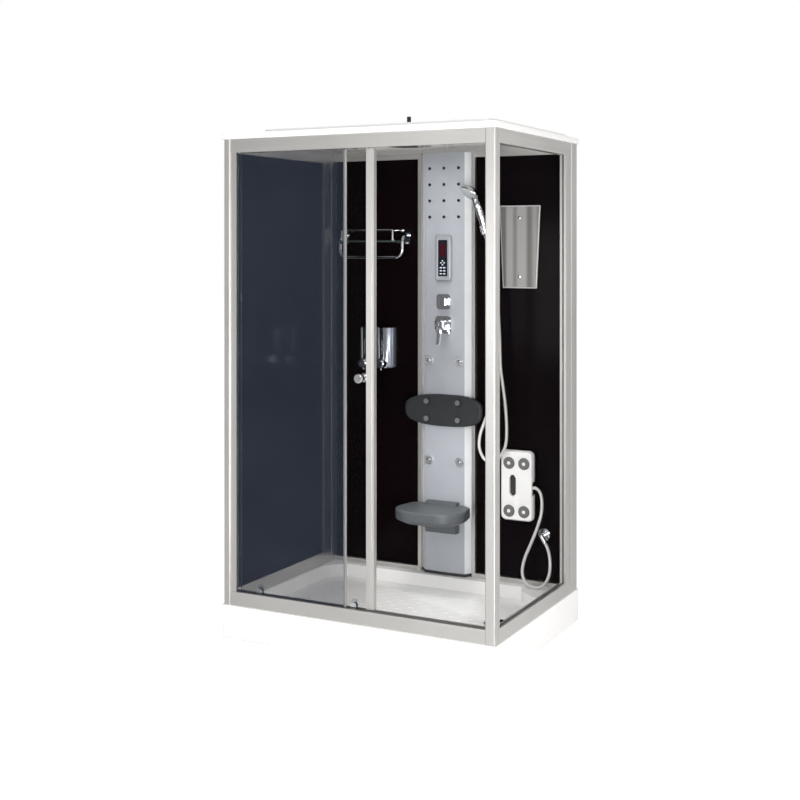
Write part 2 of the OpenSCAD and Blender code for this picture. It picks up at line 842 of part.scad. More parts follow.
module fixed_glass() color("slategray", 0.5)
    bar([fixed_left - glass_bite, fixed_y, pane_low], [fixed_right, fixed_y + glass_t, pane_high]);

// Lip on the edge of the fixed pane, and the strip on the right post that the door meets
module glass_seals() color("lightgray") {
    bar([fixed_right, fixed_y - 1, edge_low], [fixed_right + 3, fixed_y + glass_t + 4, edge_high]);
    bar([fixed_right - 10, fixed_y + glass_t, edge_low], [fixed_right, fixed_y + glass_t + 2, edge_high]);
    for (z = [rail_low - gasket_h, rail_high])
        bar([fixed_left + play, rail_y + alu_wall + play, z], [fixed_right, fixed_y - play, z + gasket_h]);
    bar([right_post_x - strip_t, door_y - profile_d / 2 + glass_t / 2, edge_low],
        [right_post_x, door_y + profile_d / 2 + glass_t / 2, edge_high]);
}

// Frame of the back wall: top rail with glass pockets, foot rails and the trims beside the column
module back_frame() color("silver") {
    groove = glass_t + 2 * glass_gap;
    difference() {
        bar([-side_in, back_y, frame_top - back_lip_h], [side_in, y_out, frame_top]);
        bar([-side_in - over, wall_y - glass_gap, frame_top - back_lip_h - over],
            [side_in + over, wall_y - glass_gap + groove, wall_pane_z[1] + play]);
        bar([-trim_out, back_y - over, frame_top - back_lip_h - over],
            [trim_out, y_out + over, tower_top + alu_wall]);
        translate([0, supply_y, tower_top]) cylinder(r = pipe_r + play, h = frame_top - tower_top + over);
        bar([-side_in - over, back_y - over, frame_top - back_lip_h - over],
            [side_in + over, back_y + 12, frame_top - back_top_h]);
    }
    both_sides() {
        difference() {
            bar([trim_out, back_y, tray_h], [side_in, y_out, tray_h + back_rail_h]);
            bar([trim_out - over, wall_y - glass_gap, wall_pane_z[0] - play],
                [side_in + over, wall_y - glass_gap + groove, tray_h + back_rail_h + over]);
        }
        bar([trim_in + play, trim_front, tray_h], [trim_out, trim_back, tower_top + alu_wall]);
    }
}

module door_glass() color("slategray", 0.5) difference() {
    bar([door_left, door_y, door_low], [profile_left + glass_bite, door_back, door_high]);
    for (x = roller_x) {
        rod_y(x, clamp_z, door_y - over, door_back + over, bolt_d);
        rod_y(x, low_roller_z, door_y - over, door_back + over, bolt_d);
    }
    rod_y(knob_x, knob_z, door_y - over, door_back + over, knob_hole_d);
}

module door_edge_profile() color("whitesmoke")
    translate([0, door_y + glass_t / 2, edge_low]) linear_extrude(edge_high - edge_low) difference() {
        translate([profile_left, -profile_d / 2]) square([profile_w, profile_d]);
        translate([profile_left - over, -glass_t / 2 - glass_gap])
            square([glass_bite + play + over, glass_t + 2 * glass_gap]);
        translate([profile_left + 14, -profile_d / 2 + alu_wall]) square([10, profile_d - 2 * alu_wall]);
        // Shadow groove that shows on both faces
        for (y = [-profile_d / 2 - over, profile_d / 2 - 2]) translate([door_right - 11, y]) square([5, 2 + over]);
    }

// Turned knob, its foot on the glass at depth 0
module knob() {
    r = knob_d / 2;
    rotate_extrude() polygon([[0, 0], [r * 0.62, 0], [r * 0.62, 3], [r * 0.5, 6], [r * 0.5, knob_l - 16],
        [r - 3, knob_l - 13], [r, knob_l - 10], [r, knob_l - 4], [r - 1.2, knob_l - 1.2], [r - 4, knob_l],
        [0, knob_l]]);
}

module door_knobs() color("silver") {
    translate([knob_x, door_y - play, knob_z]) rotate([90, 0, 0]) knob();
    translate([knob_x, door_back + play, knob_z]) rotate([-90, 0, 0]) knob();
    rod_y(knob_x, knob_z, door_y - 2, door_back + 2, knob_hole_d - 1);
}

// Plates behind the glass with the clamp bolts and roller axles, buttons in front of it
module door_hangers() color("silver")
    for (x = roller_x) {
        plate_w = 36;
        translate([x, hanger_y + hanger_t, (clamp_z + top_roller_z) / 2]) rotate([90, 0, 0])
            linear_extrude(hanger_t) rounded(plate_w, top_roller_z - clamp_z + 22, 8);
        rod_y(x, top_roller_z, hanger_y + 1, axle_end, axle_d);
        rod_y(x, top_roller_z, axle_end - 1.5, axle_end, axle_d + 4);
        rod_y(x, clamp_z, door_y - 4, hanger_y + 1, bolt_d - 1);
        rod_y(x, clamp_z, door_y - 4, door_y, bolt_d + 8);
        translate([x, hanger_y + hanger_t, low_roller_z + 6]) rotate([90, 0, 0])
            linear_extrude(hanger_t) rounded(plate_w - 8, 38, 8);
        rod_y(x, low_roller_z, door_y - 6, axle_end, axle_d);
        rod_y(x, low_roller_z, axle_end - 1.5, axle_end, axle_d + 4);
        rod_y(x, low_roller_z, door_y - 6, hanger_y + 1, bolt_d - 1);
        rod_y(x, low_roller_z, door_y - 6, door_y, bolt_d + 12);
    }

// Grooved roller on its axle, turning about Y
module roller(x, z, roll_d) {
    r = roll_d / 2;
    f = roller_flange;
    w = roller_w / 2;
    g = groove_w / 2;
    translate([x, rib_y, z]) rotate([90, 0, 0]) rotate_extrude() polygon([
        [axle_d / 2 + running_fit, -w], [r + f - 0.8, -w], [r + f, -w + 0.8], [r + f, -g - 0.4],
        [r, -g], [r, g], [r + f, g + 0.4], [r + f, w - 0.8], [r + f - 0.8, w], [axle_d / 2 + running_fit, w]]);
}

module top_roller_left() color("dimgray") roller(roller_x[0], top_roller_z, top_roll_d);
module top_roller_right() color("dimgray") roller(roller_x[1], top_roller_z, top_roll_d);
module lower_roller_left() color("dimgray") roller(roller_x[0], low_roller_z, low_roll_d);
module lower_roller_right() color("dimgray") roller(roller_x[1], low_roller_z, low_roll_d);

module tower_shell() color("lightsteelblue") difference() {
    translate([0, 0, tower_foot]) linear_extrude(tower_top - tower_foot) difference() {
        polygon(tower_outline(0, tower_rear));
        polygon(tower_outline(tower_wall, tower_rear + over));
    }
    for (x = mini_x, z = mini_h) rod_y(x, z, tower_y - over, tower_y + 9, mini_barrel_d + 2 * play);
    for (p = jet_places) rod_y(p[0], p[1], tower_y - over, tower_y + 15, jet_tail_d + 2 * play);
    for (p = pad_places) rod_y(p[0], p[1], tower_y - over, tower_y + 15, pad_tail_d + 2 * play);
    rod_y(0, diverter_z, tower_y - over, tower_y + 9, spindle_d + 2 * play);
    rod_y(0, mixer_z, tower_y - over, tower_y + 9, cartridge_d + 2 * play);
}

module tower_base_cap() color("black")
    translate([0, 0, tray_h]) linear_extrude(base_cap_h) difference() {
        polygon(tower_outline(0, tower_rear));
        polygon(tower_outline(3 * tower_wall, tower_rear + over));
    }

module mini_jets() color("silver")
    for (x = mini_x, z = mini_h) {
        y = tower_face(max(abs(x) - mini_d / 2, 0)) - play;
        difference() {
            union() {
                rod_y(x, z, y - 4, y, mini_d);
                rod_y(x, z, y - 5.5, y, mini_d - 6);
                rod_y(x, z, y - 1, tower_y + 11, mini_barrel_d);
            }
            rod_y(x, z, y - 8, tower_y + 11 + over, 3);
        }
    }

module control_bezel() color("silver") difference() {
    hull() {
        face_plate(0, panel_z, panel_w, panel_h, 14, mount_y - panel_t / 2, mount_y);
        face_plate(0, panel_z, panel_w - 12, panel_h - 12, 10, panel_front, panel_front + 1);
    }
    face_plate(0, panel_z, lens_w + 2 * play, lens_h + 2 * play, 5, panel_front - over, panel_front + lens_t + play);
}

module control_lens() color("darkred") {
    face_plate(0, panel_z, lens_w, lens_h, 5 - play, panel_front, panel_front + lens_t);
    // Membrane keys: four round the middle, then three rows of two
    for (p = [[0, 0], [0, -24], [-12, -12], [12, -12]])
        face_plate(p[0], panel_z + p[1] - 8, 9, 7, 2, panel_front - 0.6, panel_front + 0.5);
    for (x = [-11, 11], i = [0:2])
        face_plate(x, panel_z - 46 - 13 * i, 13, 6, 2, panel_front - 0.6, panel_front + 0.5);
}

module valve_plates() color("silver") {
    difference() {
        face_plate(0, diverter_z, diverter_plate_w, diverter_plate_w, 14, plate_front, mount_y);
        rod_y(0, diverter_z, plate_front - over, mount_y + over, spindle_d + 2 * play);
    }
    difference() {
        face_plate(0, mixer_z, mixer_plate_w, mixer_plate_w, 16, plate_front, mount_y);
        rod_y(0, mixer_z, plate_front - over, mount_y + over, cartridge_d + 2 * play);
    }
}

module valve_bodies() color("goldenrod") {
    body_front = tower_y + tower_wall + play;
    rod_y(0, mixer_z, body_front, tower_rear, mixer_hub_d + 4);
    rod_y(0, mixer_z, bore_end + play, tower_rear, cartridge_d);
    rod_x(-inlet_spacing / 2, inlet_spacing / 2, supply_y, mixer_z, inlet_d + 3);
    for (x = [-1, 1] * inlet_spacing / 2) {
        rod_y(x, mixer_z, supply_y - inlet_d / 2, inlet_end - inlet_l, inlet_d + 3);
        rod_y(x, mixer_z, supply_y, inlet_end, inlet_d);
    }
    rod_y(0, diverter_z, body_front, tower_rear, diverter_body_d);
    rod_y(0, diverter_z, knob_front + 10, tower_rear, spindle_d);
}

module diverter_knob() color("silver") difference() {
    union() {
        face_plate(0, diverter_z, diverter_knob_w, diverter_knob_w, 7, knob_front, plate_front - 8);
        rod_y(0, diverter_z, knob_front + 5, plate_front - play, diverter_knob_w - 6);
    }
    rod_y(0, diverter_z, knob_front + 9, plate_front, spindle_d + 2 * running_fit);
}

module mixer_hub() color("silver") {
    difference() {
        union() {
            face_plate(0, mixer_z, mixer_hub_d, mixer_hub_d, 4, hub_front, hub_rear - 8 + over);
            rod_y(0, mixer_z, hub_rear - 8, hub_rear, mixer_hub_d + 6);
        }
        rod_y(0, mixer_z, bore_end, hub_rear + over, cartridge_d + 2 * running_fit);
        bar([-lever_t / 2 - play, hub_front - over, mixer_z - mixer_hub_d],
            [lever_t / 2 + play, lever_pivot_y + 11, mixer_z + 11]);
    }
    rod_x(-mixer_hub_d / 2 + 3, mixer_hub_d / 2 - 3, lever_pivot_y, mixer_z, lever_pin_d);
}

// Lever drawn from the side: pin end, tapering arm, broad grip
module mixer_lever() color("silver") {
    reach = 22;
    tip = [lever_pivot_y - reach, mixer_z - lever_l];
    eye_r = 9;
    tip_r = 5;
    difference() {
        along_x(-lever_t / 2, lever_t / 2) {
            translate([lever_pivot_y, mixer_z]) circle(r = eye_r);
            polygon([[lever_pivot_y - eye_r, mixer_z - 2], [lever_pivot_y + eye_r, mixer_z + 1],
                tip + [tip_r, 1], tip - [tip_r, 1]]);
        }
        rod_x(-lever_t, lever_t, lever_pivot_y, mixer_z, lever_pin_d + 2 * running_fit);
    }
    along_x(-lever_t / 2 - 4, lever_t / 2 + 4) {
        translate(tip) circle(r = tip_r);
        polygon([tip + [-tip_r, 0] + 0.62 * [reach, lever_l], tip + [tip_r + 1.5, 0] + 0.62 * [reach, lever_l],
            tip + [tip_r, 1], tip - [tip_r, 1]]);
    }
}

module jet_bodies() color("silver")
    for (p = jet_places) difference() {
        union() {
            rod_y(p[0], p[1], jet_back - jet_flange_t, jet_back, jet_d);
            rod_y(p[0], p[1], jet_back - 1, jet_tail_end, jet_tail_d);
        }
        translate([p[0], jet_ball_y, p[1]]) sphere(d = jet_ball_d + 2 * play);
        rod_y(p[0], p[1], jet_ball_y, jet_tail_end - 3, jet_ball_d + 2 * play);
        rod_y(p[0], p[1], jet_back - jet_flange_t - over, jet_ball_y, jet_ball_d - 3);
    }

module jet_nozzle(p) color("gainsboro") translate([p[0], jet_ball_y, p[1]]) difference() {
    union() {
        sphere(d = jet_ball_d);
        rotate([90, 0, 0]) cylinder(d = 10, h = jet_ball_d / 2 + 5);
    }
    translate([0, jet_ball_d, 0]) rotate([90, 0, 0]) cylinder(d = 5, h = 2 * jet_ball_d + 5);
}

module jet_nozzle_1() jet_nozzle(jet_places[0]);
module jet_nozzle_2() jet_nozzle(jet_places[1]);
module jet_nozzle_3() jet_nozzle(jet_places[2]);
module jet_nozzle_4() jet_nozzle(jet_places[3]);

// Pipes behind the column: riser to the roof, drop with manifolds, feeds to the wall elbows
module water_pipes() color("lightgray") {
    d = 2 * pipe_r;
    branch_d = d - 2.5;
    bend_r = 20;
    drop_x = inlet_spacing / 2 + 22;
    // Riser from the diverter, through the roof and forward to the rain head
    translate([0, supply_y, diverter_z + diverter_body_d / 2 + play])
        cylinder(d = d, h = over_roof_z - bend_r - diverter_z - diverter_body_d / 2 - play);
    translate([0, supply_y - bend_r, over_roof_z - bend_r]) rotate([0, 0, 90]) quarter(bend_r, d);
    rod_y(0, over_roof_z, rain_y + union_d / 2 + play, supply_y - bend_r, d);
    // Feed to the small jets
    for (x = mini_x) translate([x, mini_feed_y, mini_h[0] - 18])
        cylinder(d = mini_feed_d, h = mini_h[mini_rows - 1] - mini_h[0] + 26);
    rod_x(mini_x[0], mini_x[mini_cols - 1], mini_feed_y, mini_h[0] - 18, mini_feed_d);
    rod_y(0, mini_h[0] - 18, mini_feed_y, supply_y, mini_feed_d);
    // Drop and manifolds of the body jets and the back pad
    rod_x(diverter_body_d / 2 + play, drop_x, supply_y, diverter_z, branch_d);
    translate([drop_x, supply_y, elbow_2[1] - d]) cylinder(d = d, h = diverter_z - elbow_2[1] + 2 * d);
    for (z = [jet_low_z, jet_high_z]) rod_x(-jet_dx - 10, jet_dx + 10, supply_y, z, branch_d);
    for (z = [pad_z - pad_nozzle_dz, pad_z + pad_nozzle_dz])
        rod_x(-pad_nozzle_dx - 8, pad_nozzle_dx + 8, supply_y, z, branch_d);
    // Feeds running behind the glass to the elbows
    for (e = [elbow_1, elbow_2]) {
        rod_y(drop_x, e[1], supply_y, rear_pipe_y + rear_pipe_r + 1, d + 3);
        rod_x(drop_x, e[0] + rear_pipe_r, rear_pipe_y, e[1], 2 * rear_pipe_r);
    }
}

module massage_pad() color("dimgray") difference() {
    hull() {
        face_plate(0, pad_z, pad_w, pad_h, 62, mount_y - pad_t + 7, mount_y);
        face_plate(0, pad_z, pad_w - 7, pad_h - 7, 59, mount_y - pad_t + 2, mount_y - pad_t + 3);
        face_plate(0, pad_z, pad_w - 18, pad_h - 18, 54, mount_y - pad_t, mount_y - pad_t + 1);
    }
    for (p = pad_places) rod_y(p[0], p[1], mount_y - pad_t - over, mount_y + over, pad_tail_d + 2 * play);
}

module pad_nozzles() color("silver")
    for (p = pad_places) difference() {
        union() {
            rod_y(p[0], p[1], mount_y - pad_t - play - 4, mount_y - pad_t - play, pad_nozzle_d);
            rod_y(p[0], p[1], mount_y - pad_t - play - 1, jet_tail_end, pad_tail_d);
        }
        rod_y(p[0], p[1], mount_y - pad_t - 20, jet_tail_end + over, 4);
    }

module seat_bracket() color("lightgray") {
    along_x(-bracket_w / 2, bracket_w / 2) {
        polygon([[mount_y, hinge_z - bracket_h], [bracket_front + 13, hinge_z - bracket_h],
            [bracket_front, hinge_z - bracket_h + 42], [bracket_front, hinge_z], [mount_y, hinge_z]]);
        translate([hinge_y, hinge_z]) circle(r = barrel_r);
        translate([hinge_y, hinge_z]) square([mount_y - hinge_y, barrel_r]);
    }
    rod_x(-bracket_w / 2 - pin_l, bracket_w / 2 + pin_l, hinge_y, hinge_z, pin_d);
}

// Seat outline as four discs, drawn in by a set distance between two heights
module seat_layer(set, z0, z1) {
    for (x = [-1, 1]) {
        translate([x * (seat_w / 2 - seat_front_r), seat_front + seat_front_r, z0])
            cylinder(r = seat_front_r - set, h = z1 - z0, $fn = 40);
        translate([x * (seat_w / 2 - 15 - seat_rear_r), seat_rear - seat_rear_r, z0])
            cylinder(r = seat_rear_r - set, h = z1 - z0, $fn = 32);
    }
}

module seat() color("dimgray") difference() {
    hull() {
        seat_layer(45, seat_low - seat_belly, seat_low - seat_belly + 2);
        seat_layer(0, seat_low, seat_z - 6);
        seat_layer(2, seat_z - 2, seat_z - 1.5);
        seat_layer(6, seat_z - 1, seat_z);
    }
    bar([-bracket_w / 2 - play, bracket_front - play, seat_low - seat_belly - over],
        [bracket_w / 2 + play, seat_rear + over, seat_z + over]);
    rod_x(-bracket_w / 2 - pin_l - play, bracket_w / 2 + pin_l + play, hinge_y, hinge_z, pin_d + 2 * running_fit);
}

// Quarter turn of a round bar in a plane through Z, its middle at the origin, from +X up to +Z
module quarter(r, d) {
    rotate([90, 0, 0]) rotate_extrude(angle = 90) translate([r, 0]) circle(d = d);
}

// Towel bar hung below the shelf, the guard rail above it, and the wall brackets that hold both
module shelf_rail() color("silver") {
    bend_r = 38;
    middle = -(shelf_left + shelf_right) / 2;
    half = (shelf_left - shelf_right) / 2;
    translate([middle, 0, 0]) {
        rod_x(-half + bend_r, half - bend_r, towel_y, towel_z, towel_d);
        both_sides() {
            translate([half - bend_r, towel_y, towel_z + bend_r]) rotate([0, 90, 0]) quarter(bend_r, towel_d);
            translate([half, towel_y, towel_z + bend_r])
                cylinder(d = towel_d, h = bracket_z - towel_z - 2 * bend_r);
            translate([half, towel_y + bend_r, bracket_z - bend_r]) rotate([0, 0, -90]) mirror([1, 0, 0])
                rotate([0, 0, 180]) quarter(bend_r, towel_d);
            rod_y(half, bracket_z, towel_y + bend_r, wall_face - bracket_t, towel_d);
            bar([half - 15, wall_face - bracket_t, shelf_top - shelf_t - play - 8],
                [half + 15, wall_face, bracket_z + 15]);
            // Rests under the glass at the wall and on the leg
            bar([half - 26, wall_face - bracket_t - 16, shelf_top - shelf_t - play - 8],
                [half - 2, wall_face - bracket_t, shelf_top - shelf_t - play]);
            bar([half - 24, towel_y - 9, shelf_top - shelf_t - play - 6],
                [half - 2, towel_y + 9, shelf_top - shelf_t - play]);
            // Guard rail end and its post
            translate([half - gallery_in, gallery_y + 12, shelf_top + play])
                cylinder(d = gallery_d, h = gallery_h - play);
            translate([half - gallery_in, gallery_y + 12, gallery_z]) sphere(d = gallery_d);
            translate([half - gallery_in, gallery_y + 12, shelf_top + play]) cylinder(d = gallery_d + 8, h = 4);
            rod_y(half - gallery_in, gallery_z, gallery_y + 12, wall_face - 5, gallery_d);
            rod_y(half - gallery_in, gallery_z, wall_face - 5, wall_face, gallery_d + 12);
        }
        rod_x(-half + gallery_in, half - gallery_in, gallery_y + 12, gallery_z, gallery_d);
    }
}

module shelf_glass() color("lightcyan", 0.5)
    bar([glass_left, gallery_y, shelf_top - shelf_t], [glass_right, wall_face - bracket_t - play, shelf_top]);

// Bottle with a bevelled front, a round nose for the button and a spout under it
// Layer of a half-round bottle, grown outwards, between two sides, from height to height
module bottle_layer(grow, side, z0, z1) {
    r = soap_w / 2;
    translate([0, 0, z0]) linear_extrude(z1 - z0) intersection() {
        union() {
            circle(r = r + grow, $fn = 72);
            translate([-r - grow, 0]) square([2 * (r + grow), wall_face - soap_front - r]);
        }
        translate([-side, -soap_w]) square([2 * side, soap_w + wall_face - soap_front - r]);
    }
}

module soap_bottle(grow, side) hull() {
    bottle_layer(grow - 11, side - 2, soap_low - grow, soap_low + 1);
    bottle_layer(grow - 4, side, soap_low + 5 - grow, soap_low + 6);
    bottle_layer(grow, side, soap_low + 14 - grow, soap_low + soap_h);
}

module dispenser(x) {
    difference() {
        union() {
            translate([x, soap_front + soap_w / 2, 0]) {
                soap_bottle(0, soap_w);
                // Chromed band down the front
                soap_bottle(2, button_d / 2 + 2);
            }
            rod_y(x, soap_z, nose_front, soap_front + 12, button_d + 9);
            translate([x, nose_front + 12, soap_z - button_d / 2 - 14]) cylinder(d = 9, h = 18);
        }
        rod_y(x, soap_z, nose_front - over, button_front + button_l + button_travel + 4, button_d + 2 * play);
        // Window for the level of the soap
        face_plate(x, soap_z + 76, 9, 70, 4, soap_front - 2 - over, soap_front + 2);
    }
}

module soap_dispensers() color("gainsboro")
    for (x = soap_places) dispenser(x);

module dispenser_button(x) color("silver") {
    rod_y(x, soap_z, button_front, button_front + button_l, button_d);
}

module dispenser_button_left() dispenser_button(soap_places[0]);
module dispenser_button_right() dispenser_button(soap_places[1]);

module mirror_plate() color("silver") {
    top = mirror_z + mirror_h / 2;
    low = mirror_z - mirror_h / 2;
    plate_back = wall_face - 3;
    screws = [top - 55, low + 53];
    difference() {
        translate([mirror_x, plate_back, 0]) rotate([90, 0, 0]) linear_extrude(mirror_t)
            polygon([[-mirror_bottom_w / 2, low], [mirror_bottom_w / 2, low], [mirror_top_w / 2, top], [-mirror_top_w / 2, top]]);
        for (z = screws) rod_y(mirror_x, z, plate_back - mirror_t - over, plate_back + over, 7);
    }
    for (z = screws) {
        rod_y(mirror_x, z, plate_back - mirror_t - play - 4, plate_back - mirror_t - play, 16);
        rod_y(mirror_x, z, plate_back - mirror_t - play, wall_face, 6);
        rod_y(mirror_x, z, plate_back + play, wall_face, 16);
    }
}

// Places a child on the handle's axis, the cup's middle at the origin
module on_handle() {
    translate([holder_x, cup_y, holder_z]) rotate(handle_tilt) children();
}

// Cone that the cup holds, from radius at the lower end to radius at the upper
cone_low = handle_d / 2 - 1;
cone_high = handle_d / 2 + 1;
cup_h = 40;

module hand_shower() color("silver") {
    handle_top = 140;
    on_handle() {
        rotate_extrude() polygon([[hose_d / 2 - 2, nut_low], [hose_d / 2 + 2.5, nut_low], [hose_d / 2 + 2.5, -44],
            [cone_low - 2, -40], [cone_low, -cup_h / 2 - 2], [cone_high, cup_h / 2 + 2], [cone_high + 1, 60],
            [cone_high, handle_top - 14], [cone_high - 3, handle_top - 4], [0, handle_top], [0, nut_low + 8],
            [hose_d / 2 - 2, nut_low + 8]]);
    }
    // Neck between the handle and the head
    hull() {
        on_handle() translate([0, 0, handle_top - 24]) cylinder(r = cone_high - 2, h = 4, $fn = 32);
        translate([holder_x, cup_y, holder_z] + head_at) rotate(head_turn)
            translate([0, 0, head_t / 2 - 3]) cylinder(r = 20, h = 7, $fn = 32);
    }
    translate([holder_x, cup_y, holder_z] + head_at) rotate(head_turn) difference() {
        rotate_extrude($fn = 64) polygon([[0, -head_t / 2], [head_d / 2 - 3, -head_t / 2], [head_d / 2, 3 - head_t / 2],
            [head_d / 2, 0], [head_d / 2 - 6, head_t / 2 - 4], [24, head_t / 2 + 2], [0, head_t / 2 + 2]]);
        // Ring groove round the spray plate
        rotate_extrude($fn = 64) translate([head_d / 2 - 9, -head_t / 2 - over]) square([2, 1 + over]);
    }
}

module hand_shower_holder() color("silver") difference() {
    union() {
        on_handle() translate([0, 0, -cup_h / 2]) cylinder(r = cone_high + 5, h = cup_h);
        rod_x(holder_x - 8, holder_x + 8, pivot_y, holder_z, 18);
        bar([holder_x - 8, cup_y + 8, holder_z - 9], [holder_x + 8, pivot_y, holder_z + 9]);
    }
    on_handle() {
        translate([0, 0, -cup_h / 2 - 2]) cylinder(r1 = cone_low + play, r2 = cone_high + play, h = cup_h + 4);
        // Slot that lets the hose through when the handset is lifted out
        bar([-hose_d / 2 - 1, -cone_high - 12, -cup_h], [hose_d / 2 + 1, 0, cup_h]);
    }
    rod_x(holder_x - 10, holder_x + 10, pivot_y, holder_z, holder_pin_d + 2 * running_fit);
}

module shower_hose() color("silver") hose(shower_route);
module massager_hose() color("silver") hose(massager_route);

module foot_massager() color("lightgray") {
    shell_back = massager_front + massager_t;
    difference() {
        union() {
            hull() {
                face_plate(massager_x, massager_z, massager_w, massager_h, 24, massager_front + 9, shell_back);
                face_plate(massager_x, massager_z, massager_w - 12, massager_h - 12, 19, massager_front,
                    massager_front + 1);
            }
            face_plate(massager_x, massager_z, massager_w - 16, massager_h - 30, 12, shell_back - 1, massager_back);
        }
        for (p = disc_places) rod_y(p[0], p[1], massager_front - over, massager_front + disc_sink + play,
            disc_d + 2 * play);
        // Six-sided grip slot
        translate([massager_x - 19, massager_front + 14, massager_z]) rotate([90, 0, 0]) linear_extrude(14 + over)
            polygon([[-7, -48], [7, -48], [16, -34], [16, 34], [7, 48], [-7, 48], [-16, 34], [-16, -34]]);
        // Notch where the hose comes out
        bar([massager_x + massager_w / 2 - 17, shell_back - 22, notch_z - notch_h / 2],
            [massager_x + massager_w / 2 + over, massager_back + over, notch_z + notch_h / 2]);
    }
    rod_x(massager_x + massager_w / 2 - 19, gland_x, massager_front + gland_set, notch_z + gland_rise, hose_d + 5);
}

module massager_discs() color("silver")
    for (p = disc_places) {
        rod_y(p[0], p[1], massager_front - 1, massager_front + disc_sink, disc_d);
        rod_y(p[0], p[1], massager_front - 4, massager_front, disc_d - 10);
        rod_y(p[0], p[1], massager_front - 6, massager_front, 14);
    }

// Elbow on the wall: collar, tail through the glass, arm and threaded outlet turned by an angle
module elbow(e) {
    translate([e[0], 0, e[1]]) rotate([0, e[2], 0]) {
        rod_y(0, 0, wall_face - 8, wall_face, rosette_d);
        rod_y(0, 0, wall_face - 1, rear_pipe_y - rear_pipe_r - play, pane_hole_d - 1);
        rod_y(0, 0, wall_y - elbow_reach, wall_face, hose_d + 8);
        translate([0, wall_y - elbow_reach, 0]) sphere(d = hose_d + 8);
        translate([0, wall_y - elbow_reach, -elbow_drop + play + 8])
            cylinder(d = hose_d + 8, h = elbow_drop - play - 8);
        translate([0, wall_y - elbow_reach, -elbow_drop + play]) cylinder(d = hose_d + 5, h = 10);
    }
}

module wall_fittings() color("silver") {
    elbow(elbow_1);
    elbow(elbow_2);
    // Fixed base of the handset holder: collar, arm and fork with its pin
    rod_y(holder_x, holder_z, wall_face - 8, wall_face, 48);
    rod_y(holder_x, holder_z, pivot_y + 12, wall_face, 20);
    bar([holder_x - 12, pivot_y + 10, holder_z - 9], [holder_x + 12, pivot_y + 16, holder_z + 9]);
    for (x = [holder_x - 12, holder_x + 8 + play]) {
        rod_x(x, x + 4 - play, pivot_y, holder_z, 13);
        bar([x, pivot_y, holder_z - 9], [x + 4 - play, pivot_y + 11, holder_z + 9]);
    }
    rod_x(holder_x - 12, holder_x + 12, pivot_y, holder_z, holder_pin_d);
}

module roof() color("white") difference() {
    x0 = -x_edge + 190;
    x1 = x_edge - 30;
    y0 = -y_edge + 30;
    y1 = y_edge - 60;
    union() {
        translate([0, 0, frame_top]) linear_extrude(roof_top - frame_top) rounded(cabin_w, cabin_d, 8);
        translate([(x0 + x1) / 2, (y0 + y1) / 2, roof_top - 1]) linear_extrude(roof_rise + 1)
            rounded(x1 - x0, y1 - y0, 30);
    }
    translate([0, 0, frame_top + roof_wall]) linear_extrude(roof_top - frame_top - 2 * roof_wall)
        rounded(cabin_w - 2 * roof_wall, cabin_d - 2 * roof_wall, 4);
    translate([0, 0, frame_top - over]) linear_extrude(roof_wall + 2 * over)
        rounded(cabin_w - 70, cabin_d - 76, 4);
    translate([(x0 + x1) / 2, (y0 + y1) / 2, roof_top - roof_wall - over]) linear_extrude(roof_rise + over)
        rounded(x1 - x0 - 2 * roof_wall, y1 - y0 - 2 * roof_wall, 26);
    translate([0, rain_y, ceiling_z - over]) cylinder(d = union_d + 2 * play, h = roof_wall + 2 * over);
    translate([0, supply_y, frame_top - over]) cylinder(r = pipe_r + play, h = roof_rim + 2 * over);
    translate([fan_x, fan_y, ceiling_z - over]) cylinder(d = fan_d - 16, h = roof_wall + 2 * over);
}

module rain_head() color("gainsboro") {
    translate([0, rain_y, rain_z]) rotate_extrude($fn = 72) polygon([[0, 0], [rain_d / 2 - 2, 0],
        [rain_d / 2, 2], [rain_d / 2, 5], [rain_d / 2 - 6, 8], [24, rain_t], [0, rain_t]]);
    translate([0, rain_y, rain_z + rain_t - 1]) cylinder(d = union_d, h = roof_top + inlet_rise + roof_rise - rain_z - rain_t);
    translate([0, rain_y, ceiling_z - play - 8]) cylinder(d = 44, h = 8);
    translate([0, rain_y, roof_top + roof_rise + play]) cylinder(d = 30, h = 4, $fn = 6);
}

// Ring with spokes, a middle boss and the axle of the fan
module fan_grille() color("white") translate([fan_x, fan_y, 0]) {
    low = fan_low;
    difference() {
        translate([0, 0, low]) cylinder(d = fan_d, h = ceiling_z - low - play);
        translate([0, 0, low + 3]) cylinder(d = fan_d - 6, h = ceiling_z - low);
        for (i = [0:2]) difference() {
            translate([0, 0, low - over]) cylinder(r = 24 + 10 * i, h = 5);
            translate([0, 0, low - 2 * over]) cylinder(r = 17 + 10 * i, h = 8);
            for (a = [0:45:315]) rotate([0, 0, a]) bar([0, -1.5, low - 3], [fan_d, 1.5, low + 9]);
        }
    }
    translate([0, 0, low]) cylinder(d = 6, h = ceiling_z - low - 4);
}

module fan_rotor() color("dimgray") translate([fan_x, fan_y, fan_low + 3 + fan_gap]) difference() {
    union() {
        cylinder(d = fan_hub_d, h = 18);
        for (i = [0:fan_blades - 1]) rotate([0, 0, 360 * i / fan_blades])
            translate([fan_hub_d / 2 - 2, 0, 9]) rotate([32, 0, 0])
                bar([0, -11, -1], [fan_d / 2 - 6 - fan_hub_d / 2, 11, 1]);
    }
    translate([0, 0, -over]) cylinder(d = 6 + 2 * running_fit, h = 20);
}

